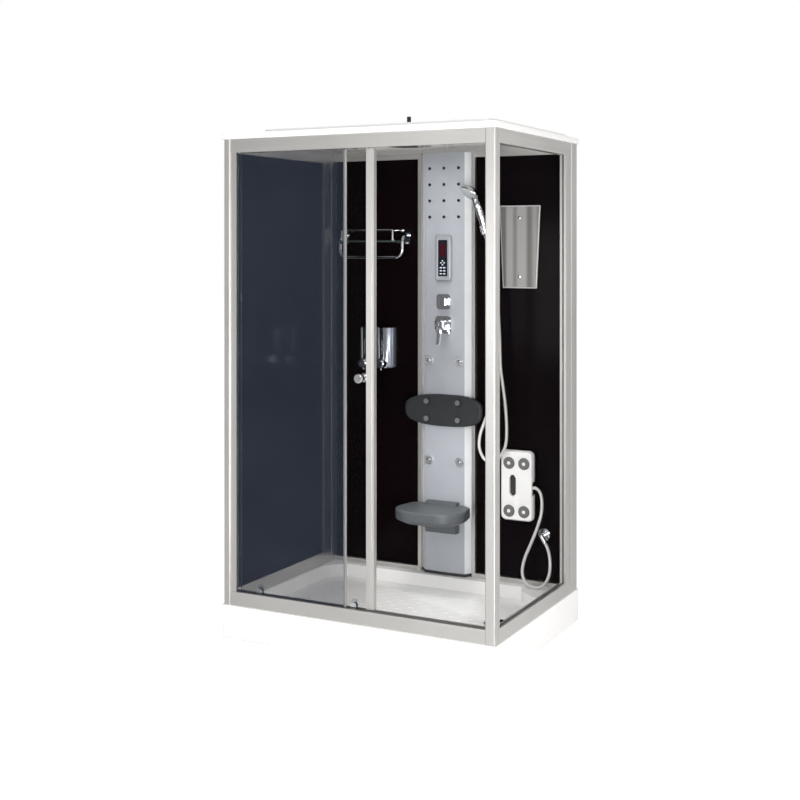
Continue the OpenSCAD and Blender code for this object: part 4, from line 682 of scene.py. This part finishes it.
class SHOWER_OT_hoses(bpy.types.Operator):
    """Runs the hose of the handset and the hose of the foot massager"""
    bl_idname = "shower.hoses"
    bl_label = "Hoses"

    def execute(self, context):
        sizes = context.scene.shower_sizes
        skin = sleeved_hose("vinyl_sleeved_spiral_hose", context.scene.shower_colours.hose)
        for name, route in (("shower_hose", SHOWER_ROUTE), ("massager_hose", MASSAGER_ROUTE)):
            hose, line, run = hose_tube(name + "_skin", route, sizes.hose_width, sizes.hose_sides)
            dress(hose, skin)
            if name == "shower_hose":
                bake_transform(hose)
            else:
                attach(hose, "cabin")
            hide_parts(name)
        return {"FINISHED"}


# In millimetres: the flat floor of the basin with its rounded corners, and what the studs keep clear of
BASIN_FLOOR = 92
FLOOR_X = 535
FLOOR_Y = (-336, 318)
FLOOR_CORNERS = (465, -264, 255)
FLOOR_CORNER_RADIUS = 74
CLEAR_OF = ((450, -30, 66), (561, 400, 196))
# The first stud, how far the studs sink in, their depth for a width of one, and how many stand in a row,
# in a staggered pair of rows and in pairs
STUDS_START = (-500, -325)
STUD_SINK = 0.1
STUD_OVAL = 0.42
STUD_COUNTS = (12, 2, 8)


def off_floor(x, y):
    """Whether a point is past the edge of the basin floor, on the corner deck or round the drain."""
    corner_x, corner_front, corner_back = FLOOR_CORNERS
    to_corner = math.hypot(max(abs(x) - corner_x, 0), max(corner_front - y, y - corner_back, 0))
    return (to_corner > FLOOR_CORNER_RADIUS or abs(x) > FLOOR_X or not FLOOR_Y[0] <= y <= FLOOR_Y[1]
            or any(math.hypot(x - mid_x, y - mid_y) < radius for mid_x, mid_y, radius in CLEAR_OF))


class SHOWER_OT_tray(bpy.types.Operator):
    """Eases the edges of the tray and sets the anti-slip studs on its floor"""
    bl_idname = "shower.tray"
    bl_label = "Tray"

    def execute(self, context):
        sizes = context.scene.shower_sizes
        white = vacuum_formed_acrylic("acrylic_vacuum_formed_tray", context.scene.shower_colours.acrylic)
        stand_for("tray", eased_copy("tray", "tray_shell", sizes.tray_edge / MM), "cabin", "tray_white", white)
        deselect()
        bpy.ops.mesh.primitive_uv_sphere_add(segments=16, ring_count=8, radius=0.5, location=(0, 0, 0))
        context.object.scale = (sizes.stud_width, sizes.stud_width * STUD_OVAL, 2 * sizes.stud_height)
        studs = settle("tray_studs")
        open_up(studs)
        bpy.ops.mesh.bisect(plane_co=(0, 0, 0), plane_no=(0, 0, 1), clear_inner=True, use_fill=True)
        leave()
        across, along = sizes.stud_pitch_x, sizes.stud_pitch_y
        for count, step in zip(STUD_COUNTS, ((across, 0, 0), (across / 2, along, 0), (0, 2 * along, 0))):
            modify(studs, "ARRAY", count=count, use_relative_offset=False, use_constant_offset=True,
                   constant_offset_displace=step)
        studs.data.transform(Matrix.Translation(Vector((*STUDS_START, BASIN_FLOOR - STUD_SINK)) * MM))
        mesh = bmesh.new()
        mesh.from_mesh(studs.data)
        doomed = {corner for corner in mesh.verts if off_floor(corner.co.x / MM, corner.co.y / MM)}
        # A stud with one corner off the floor goes as a whole
        grown = True
        while grown:
            more = {edge.other_vert(corner) for corner in doomed for edge in corner.link_edges} - doomed
            grown = bool(more)
            doomed |= more
        bmesh.ops.delete(mesh, geom=list(doomed), context="VERTS")
        mesh.to_mesh(studs.data)
        mesh.free()
        smooth(studs, 60)
        dress(studs, white)
        place(studs, "cabin", "tray_white")
        return {"FINISHED"}


class SHOWER_OT_underside(bpy.types.Operator):
    """Finishes the support frame, the feet and the waste trap under the tray"""
    bl_idname = "shower.underside"
    bl_label = "Underside"

    def execute(self, context):
        dress("support_frame", moulded("steel_zinc_plated", "#8E9297", 0.36, grain_mm=6, strength=0.05, metallic=1.0))
        dress("levelling_feet", moulded("rubber_moulded_black", "#1B1B1C", 0.7, grain_mm=1.5))
        dress("waste_trap", moulded("polypropylene_moulded_grey", "#8B8D8F", 0.45))
        return {"FINISHED"}


class SHOWER_OT_frame(bpy.types.Operator):
    """Finishes the aluminium posts, rails and tracks and their seals"""
    bl_idname = "shower.frame"
    bl_label = "Frame"

    def execute(self, context):
        colour = context.scene.shower_colours.aluminium
        upright = anodised_aluminium("aluminium_anodised_upright", "Z", colour)
        across = anodised_aluminium("aluminium_anodised_across", "X", colour)
        deep = anodised_aluminium("aluminium_anodised_deep", "Y", colour)
        dress("corner_posts glazing_channels back_frame door_edge_profile", upright)
        dress("door_track_top door_track_bottom", across)
        dress("side_rails", deep)
        dress("glass_seals", moulded("pvc_soft_extruded", "#9B9A98", 0.5, grain_mm=2))
        return {"FINISHED"}


class SHOWER_OT_glazing(bpy.types.Operator):
    """Glazes the walls, the side, the fixed pane and the door"""
    bl_idname = "shower.glazing"
    bl_label = "Glazing"

    def execute(self, context):
        colours = context.scene.shower_colours
        dress("wall_glass", enamelled_glass("glass_enamelled_black", toned(colours.wall, 1.0),
                                            toned(colours.side_wall_painted_reflection, 1.0)))
        dress("side_glass", toughened_glass("glass_toughened_side", "X", "#2A282A", 0.015, through=0.92))
        dress("fixed_glass", toughened_glass("glass_toughened_front", "Y", colours.front_glass, 0.2))
        dress("door_glass", toughened_glass("glass_toughened_door", "Y", colours.door_glass, 0.03, through=0.89))
        dress("shelf_glass", toughened_glass("glass_toughened_shelf", "Z", "#5A6A68", 0.12, edge="#39423F"))
        return {"FINISHED"}


class SHOWER_OT_door(bpy.types.Operator):
    """Finishes the knobs, the hangers and the rollers of the door"""
    bl_idname = "shower.door"
    bl_label = "Door fittings"

    def execute(self, context):
        dress("door_knobs door_hangers", chrome_plate("zinc_casting_chromed", 0.06, 0.16))
        dress("top_roller_left top_roller_right lower_roller_left lower_roller_right",
              moulded("nylon_moulded_black", "#26272A", 0.4))
        return {"FINISHED"}


class SHOWER_OT_column(bpy.types.Operator):
    """Finishes the column, its small jets and its body jets"""
    bl_idname = "shower.column"
    bl_label = "Column and jets"

    def execute(self, context):
        colours = context.scene.shower_colours
        panel = moulded("aluminium_painted_satin_silver", colours.column, 0.34, grain_mm=1.0, strength=0.03,
                        metallic=0.2)
        # Painted highlight: the side flanks of the column take a near-white paint for the light that falls on them
        flank_highlight = moulded("aluminium_flank_painted_highlight", "#E6E8EA", 0.3, grain_mm=1.0, strength=0.03)
        shell = merged_copy("tower_shell", "tower_shell_face", flat=0.05)
        bpy.ops.object.shade_flat()
        dress(shell, panel, flank_highlight)
        # Faces turned sideways beyond 104 mm from the middle take the painted highlight
        paint(shell, 1, lambda at, normal: abs(normal.x) > 0.5 and abs(at.x) > 104)
        place(shell, "cabin", "silver_panel", "tower_shell")
        dress("tower_base_cap", moulded("abs_moulded_black", "#333436", 0.5))
        plated = chrome_plate("abs_chromed", 0.05, 0.14)
        # Painted shade: the small jets get a dark grey chrome for the shade and dark reflection in them
        dress("mini_jets", chrome_plate("brass_chrome_painted_shade", 0.1, 0.2, bright="#77797C", dull="#5F6164"))
        dress("jet_bodies", chrome_plate("abs_chromed_satin", 0.26, 0.36, bright="#F4F5F7", dull="#E4E5E8"))
        dress("jet_nozzle_1 jet_nozzle_2 jet_nozzle_3 jet_nozzle_4 drain_cover", plated)
        dress("water_pipes", moulded("polypropylene_pipe_extruded", "#C9C9C7", 0.45))
        dress("valve_bodies", moulded("brass_cast", "#B8954F", 0.38, grain_mm=2, strength=0.2, metallic=1.0))
        return {"FINISHED"}


# Middle and half width of each key in millimetres: a diamond of four above three rows of two
DIAMOND_KEYS = [(x, z, 4.0) for x, z in ((0, 1602), (-8, 1593), (8, 1593), (0, 1584))]
ROW_KEYS = [(x, z, 6.2) for z in (1570, 1556, 1542) for x in (-8.5, 8.5)]
KEY_HALF_HEIGHT = 3
KEY_ROUNDING = 2.8
KEY_SUNK, KEY_PROUD = 0.9, 0.4


class SHOWER_OT_controls(bpy.types.Operator):
    """Makes the control panel with its keys and the square mixer and diverter"""
    bl_idname = "shower.controls"
    bl_label = "Controls"

    def execute(self, context):
        silver = moulded("abs_painted_silver", context.scene.shower_colours.silver, 0.3, strength=0.04, metallic=0.6)
        bezel = eased_copy("control_bezel", "control_bezel_face", 1.2)
        stand_for("control_bezel", bezel, "cabin", "silver_plastic", silver)
        dress("control_lens", display_lens("polycarbonate_tinted_lens", linear("#3A0C15"), linear("#191A24")))
        keys = []
        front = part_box("control_lens")[0][1] / MM
        for x, z, half in DIAMOND_KEYS + ROW_KEYS:
            key = block("key", (x - half, front - KEY_SUNK, z - KEY_HALF_HEIGHT),
                        (x + half, front + KEY_PROUD, z + KEY_HALF_HEIGHT))
            choose(key, "EDGE", lambda at, run: abs(run.y) > 0.9)
            bpy.ops.mesh.bevel(offset=KEY_ROUNDING * MM, segments=5)
            leave()
            modify(key, "BEVEL", width=0.3 * MM, segments=2, limit_method="ANGLE")
            keys.append(key)
        keys = joined(keys, "control_keys")
        smooth(keys)
        dress(keys, moulded("silicone_moulded_white", "#D5DCEA", 0.45))
        place(keys, "cabin", "screen")
        chrome = chrome_plate("brass_chromed", 0.05, 0.13)
        stand_for("mixer_hub", eased_copy("mixer_hub", "mixer_hub_block", 1.5), "mixer_handle", "chrome", chrome)
        dress("mixer_lever diverter_knob valve_plates", chrome)
        return {"FINISHED"}


# The back pad in millimetres: half its width and height, its edge, and the dimples round its four nozzles
PAD_HALF = (200, 75)
PAD_EDGE = 3
PAD_NOZZLES = [(x, z) for z in (-40, 40) for x in (-80, 80)]
DIMPLE_DEPTH = 3.4
DIMPLE_RADIUS = 17
DIMPLE_SLOPE = 1.1


def pad_outline(angle):
    """Half width and height of the back pad at an angle, in millimetres: blunt at the right, longer at the left."""
    c, s = math.cos(angle), math.sin(angle)
    power = 2.9 if c > 0 else 2.1
    return (PAD_HALF[0] * math.copysign(abs(c) ** (2 / power), c),
            PAD_HALF[1] * math.copysign(abs(s) ** (2 / 3.2), s))


def pad_profile(t, front, back, crown):
    """Scale of the outline, and depth, from the back face at 0 round the edge to the middle of the front at 1."""
    if t < 0.1:
        return 0.955 + 0.3 * t, back
    if t < 0.5:
        a = (t - 0.1) / 0.4 * math.pi / 2
        return (0.985 + 0.015 * math.sin(2 * a) - 0.09 * (1 - math.cos(a)),
                back - (back - front - PAD_EDGE) * math.sin(a))
    a = (t - 0.5) / 0.5
    return 0.895 * (1 - a), front + PAD_EDGE - (PAD_EDGE + crown - 1) * (1 - (1 - a) ** 2)


class SHOWER_OT_back_pad(bpy.types.Operator):
    """Swells the foamed back pad with a dimple round each nozzle"""
    bl_idname = "shower.back_pad"
    bl_label = "Back pad"

    def execute(self, context):
        crown = context.scene.shower_sizes.pad_crown / MM
        low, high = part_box("massage_pad")
        back, front, middle = high[1] / MM, low[1] / MM, (low[2] + high[2]) / 2 / MM
        around, across = 128, 40
        mesh = bmesh.new()
        rings = []
        for j in range(across + 1):
            scale, y = pad_profile(j / across, front, back, crown)
            ring = []
            for i in range(around if scale > 0 else 1):
                x, z = (half * scale for half in pad_outline(2 * math.pi * i / around))
                dip = 0.0
                if 2 * j >= across:
                    off = min(math.hypot(x - dx, z - dz) for dx, dz in PAD_NOZZLES)
                    dip = DIMPLE_DEPTH / (1 + math.exp((off - DIMPLE_RADIUS) / DIMPLE_SLOPE))
                ring.append(mesh.verts.new((x * MM, (y + dip) * MM, (middle + z) * MM)))
            rings.append(ring)
        for inner, outer in zip(rings, rings[1:]):
            for i in range(around):
                n = (i + 1) % around
                far = (outer[0],) if len(outer) == 1 else (outer[n], outer[i])
                mesh.faces.new((inner[i], inner[n]) + far)
        mesh.faces.new(rings[0])
        pad = knit("back_pad", mesh)
        smooth(pad, 60)
        dress(pad, skinned_foam("polyurethane_foam_skinned", context.scene.shower_colours.pad))
        place(pad, "cabin", "pad_foam", "massage_pad")
        dress("pad_nozzles", moulded("abs_satin_grey", "#77797B", 0.35, metallic=0.3))
        return {"FINISHED"}


class SHOWER_OT_seat(bpy.types.Operator):
    """Moulds the folding seat and its bracket"""
    bl_idname = "shower.seat"
    bl_label = "Seat"

    def execute(self, context):
        grey = moulded("abs_moulded_seat_grey", context.scene.shower_colours.seat, 0.42, grain_mm=1.5, strength=0.15)
        stand_for("seat", melted_copy("seat", "seat_shell", 4.0, 6), "folding_seat", "seat_plastic", grey)
        stand_for("seat_bracket", eased_copy("seat_bracket", "seat_bracket_shell", 2.0), "cabin", "seat_plastic", grey)
        return {"FINISHED"}


class SHOWER_OT_shelf(bpy.types.Operator):
    """Finishes the guard rail, the towel bar and the wall fittings"""
    bl_idname = "shower.shelf"
    bl_label = "Shelf and wall fittings"

    def execute(self, context):
        dress("shelf_rail wall_fittings", chrome_plate("brass_tube_chromed", 0.06, 0.14))
        return {"FINISHED"}


# The chromed middle of each soap dispenser in millimetres
DISPENSER_X = (-408, -314)
DISPENSER_CHROME_HALF = 22


class SHOWER_OT_dispensers(bpy.types.Operator):
    """Makes the two soap dispensers and their push buttons"""
    bl_idname = "shower.dispensers"
    bl_label = "Soap dispensers"

    def execute(self, context):
        clear = clear_ribbed("styrene_clear_ribbed", "#AEB5C4")
        plated = chrome_plate("abs_chromed_soap", 0.05, 0.15)
        body = eased_copy("soap_dispensers", "soap_dispenser_bodies", 1.0)
        dress(body, clear, plated)
        paint(body, 1, lambda at, normal: min(abs(at.x - x) for x in DISPENSER_X) < DISPENSER_CHROME_HALF)
        place(body, "cabin", "silver_plastic", "soap_dispensers")
        dress("dispenser_button_left dispenser_button_right", plated)
        return {"FINISHED"}


# The mirror in millimetres, wider at its head than at its foot
MIRROR_X = 366
MIRROR_FRONT, MIRROR_BACK = 430.7, 436.7
MIRROR_HEAD, MIRROR_FOOT = 199, 165
MIRROR_MIDDLE_Z = 1500
MIRROR_BEVEL = 1.2
MIRROR_SCREWS = (1799.5, 1532.5)


class SHOWER_OT_mirror(bpy.types.Operator):
    """Cuts the tapering mirror with its ground bevel and its two screws"""
    bl_idname = "shower.mirror"
    bl_label = "Mirror"

    def execute(self, context):
        low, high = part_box("mirror")
        plate = block("mirror_sheet", (low[0] / MM, MIRROR_FRONT, low[2] / MM),
                      (high[0] / MM, MIRROR_BACK, high[2] / MM))
        choose(plate, "EDGE", lambda at, run: abs(run.x) > 0.9 and at.z < MIRROR_MIDDLE_Z)
        bpy.ops.transform.resize(value=(MIRROR_FOOT / MIRROR_HEAD, 1, 1), center_override=(MIRROR_X * MM, 0, 0))
        leave()
        choose(plate, "FACE", lambda at, normal: normal.y < -0.9)
        bpy.ops.mesh.inset(thickness=5 * MM, depth=MIRROR_BEVEL * MM)
        leave()
        # The inset face moves out to the front, so the rim left behind is the ground bevel
        plate.data.transform(Matrix.Translation((0, MIRROR_BEVEL * MM, 0)))
        dress(plate, silvered_glass("glass_float_silvered"),
              moulded("glass_ground_bevel", "#D9D8D6", 0.35, strength=0.02, metallic=0.4))
        paint(plate, 1, lambda at, normal: normal.y > -0.995)
        place(plate, "cabin", "mirror_glass", "mirror")
        screws = []
        for z in MIRROR_SCREWS:
            screws.append(turned("screw", [(8, 0), (8, 2.4), (6.8, 3.6), (2.2, 4), (2.0, 3.0)],
                                 (MIRROR_X, MIRROR_FRONT - 0.2, z), (0, -1, 0), sides=32))
            screws.append(turned("spacer", [(8, 0), (8, 3)], (MIRROR_X, 439.5, z), (0, -1, 0), sides=32))
        screws = joined(screws, "mirror_screws")
        smooth(screws)
        dress(screws, chrome_plate("brass_screw_chromed", 0.06, 0.14))
        place(screws, "cabin", "chrome")
        return {"FINISHED"}


# The head of the hand shower in millimetres and degrees, and how much fuller it and the grip get
HEAD_AT = (170, 320, 1915)
HEAD_ROLL, HEAD_PITCH = 32, -33
HEAD_HALF = 10
HEAD_WIDER = 0.08
HEAD_THICKER = 0.4
GRIP_THICKER = 2.4
GRIP_FOOT = 1785
SPRAY_ROWS = ((14, 8), (22, 12), (30, 18))


def handset_head():
    """Place of the head of the hand shower in millimetres: its middle, with the spray side downwards."""
    turn = Matrix.Rotation(math.radians(HEAD_ROLL), 4, "Y") @ Matrix.Rotation(math.radians(HEAD_PITCH), 4, "X")
    return Matrix.Translation(Vector(HEAD_AT)) @ turn


def swollen(piece):
    """Gives the head its full crown and the grip its waist, which the plain source leaves thin."""
    head = handset_head()
    back = head.inverted()
    for vertex in piece.data.vertices:
        at = vertex.co / MM
        local = back @ at
        near = min(max((86 - local.length) / 34, 0.0), 1.0)
        near = near * near * (3 - 2 * near)
        wider, thicker = 1 + HEAD_WIDER * near, 1 + HEAD_THICKER * near
        wide = head @ Vector((local.x * wider, local.y * wider, local.z * thicker))
        grip = min(max((at.z - GRIP_FOOT) / 30, 0.0), 1.0) * (1 - near)
        vertex.co = (wide + vertex.normal * GRIP_THICKER * grip) * MM


class SHOWER_OT_handset(bpy.types.Operator):
    """Moulds the hand shower and its cup, with the pale spray plate and its nozzles"""
    bl_idname = "shower.handset"
    bl_label = "Hand shower"

    def execute(self, context):
        plated = chrome_plate("abs_chromed_handset", 0.16, 0.26, bright="#ECEDEF", dull="#DCDDE0")
        body = melted_copy("hand_shower", "hand_shower_body", 1.6, 3)
        swollen(body)
        dress(body, plated)
        place(body, "shower_cup", "chromed_plastic", "hand_shower")
        head = handset_head()
        out = head.to_3x3() @ Vector((0, 0, -1))
        face = HEAD_HALF * (1 + HEAD_THICKER) - 0.8
        plate = turned("spray_plate", [(38, 0), (37.4, 1.2), (35.6, 1.9), (9, 2.6), (8, 1.9), (2, 1.9)],
                       head @ Vector((0, 0, -face)), out)
        smooth(plate)
        dress(plate, moulded("abs_moulded_spray_plate", "#C9CACC", 0.3, strength=0.04))
        place(plate, "shower_cup", "silver_plastic")
        nozzles = []
        for radius, count in SPRAY_ROWS:
            for i in range(count):
                angle = 2 * math.pi * i / count
                foot = head @ Vector((radius * math.cos(angle), radius * math.sin(angle), -face - 1.8))
                nozzles.append(turned("nozzle", [(1.7, 0), (1.2, 1.6), (0.6, 1.8)], foot, out, sides=10))
        nozzles = joined(nozzles, "spray_nozzles")
        dress(nozzles, moulded("silicone_moulded_grey", "#77797B", 0.5))
        place(nozzles, "shower_cup", "silver_plastic")
        dress("hand_shower_holder", plated)
        return {"FINISHED"}


class SHOWER_OT_massager(bpy.types.Operator):
    """Moulds the foot massager with its ribbed discs and its grip"""
    bl_idname = "shower.massager"
    bl_label = "Foot massager"

    def execute(self, context):
        colours = context.scene.shower_colours
        shell = eased_copy("foot_massager", "foot_massager_shell", 1.5)
        white = moulded("abs_moulded_white", colours.white, 0.3, strength=0.05)
        grey = moulded("abs_moulded_light_grey", "#CFCECB", 0.35, strength=0.05)
        dark = moulded("abs_moulded_dark_grey", "#2F2E2E", 0.5)
        dress(shell, white, grey, dark)
        paint(shell, 1, lambda at, normal: at.y > 416.5)
        paint(shell, 2, lambda at, normal: abs(at.x - 348) < 14 and abs(at.z - 590) < 46 and at.y > 400)
        place(shell, "cabin", "silver_plastic", "foot_massager")
        relief = turned("massager_strain_relief", [(9.6, 0), (9.6, 4), (8.8, 6), (8.8, 8), (8.4, 9), (8.4, 11),
                                                   (8.0, 12), (8.0, 14), (7.6, 15), (7.3, 24)],
                        (431, 403, 585), (1, 0, 0), sides=32)
        smooth(relief)
        dress(relief, moulded("pvc_moulded_relief", "#C4C3C1", 0.45))
        place(relief, "cabin", "silver_plastic")
        dress("massager_discs", ribbed_disc("rubber_ribbed_grey", colours.disc, (367, 583), (36, 108), 8))
        return {"FINISHED"}


class SHOWER_OT_roof(bpy.types.Operator):
    """Eases the roof and finishes the rain head and the fan"""
    bl_idname = "shower.roof"
    bl_label = "Roof"

    def execute(self, context):
        colours = context.scene.shower_colours
        white = vacuum_formed_acrylic("acrylic_vacuum_formed_roof", colours.acrylic)
        roof = eased_copy("roof", "roof_shell", context.scene.shower_sizes.roof_edge / MM)
        stand_for("roof", roof, "cabin", "roof_white", white)
        dress("rain_head", capped_head("abs_chromed_and_black", 2.162, "#1A1A1A", "#E0E1E4"))
        dress("fan_grille", moulded("abs_moulded_white_grille", colours.white, 0.35))
        dress("fan_rotor", moulded("polypropylene_moulded_black", "#222325", 0.5))
        return {"FINISHED"}


OPERATORS = (
    SHOWER_OT_stage, SHOWER_OT_hoses, SHOWER_OT_tray, SHOWER_OT_underside, SHOWER_OT_frame, SHOWER_OT_glazing,
    SHOWER_OT_door, SHOWER_OT_column, SHOWER_OT_controls, SHOWER_OT_back_pad, SHOWER_OT_seat, SHOWER_OT_shelf,
    SHOWER_OT_dispensers, SHOWER_OT_mirror, SHOWER_OT_handset, SHOWER_OT_massager, SHOWER_OT_roof)


class SHOWER_PT_panel(bpy.types.Panel):
    bl_idname = "SHOWER_PT_panel"
    bl_label = "Shower cabin"
    bl_space_type = "VIEW_3D"
    bl_region_type = "UI"
    bl_category = "Shower"

    def draw(self, context):
        sizes = context.scene.shower_sizes
        colours = context.scene.shower_colours
        for group in (sizes, colours):
            for name in group.bl_rna.properties.keys():
                if name not in ("rna_type", "name"):
                    self.layout.prop(group, name)
        for operator in OPERATORS:
            self.layout.operator(operator.bl_idname)


CLASSES = (ShowerSizes, ShowerColours) + OPERATORS + (SHOWER_PT_panel,)


def register():
    for kind in CLASSES:
        bpy.utils.register_class(kind)
    bpy.types.Scene.shower_sizes = PointerProperty(type=ShowerSizes)
    bpy.types.Scene.shower_colours = PointerProperty(type=ShowerColours)


def unregister():
    del bpy.types.Scene.shower_colours
    del bpy.types.Scene.shower_sizes
    for kind in reversed(CLASSES):
        bpy.utils.unregister_class(kind)


def main():
    register()
    for operator in OPERATORS:
        group, name = operator.bl_idname.split(".")
        getattr(getattr(bpy.ops, group), name)()
    deselect()


if __name__ == "__main__":
    main()
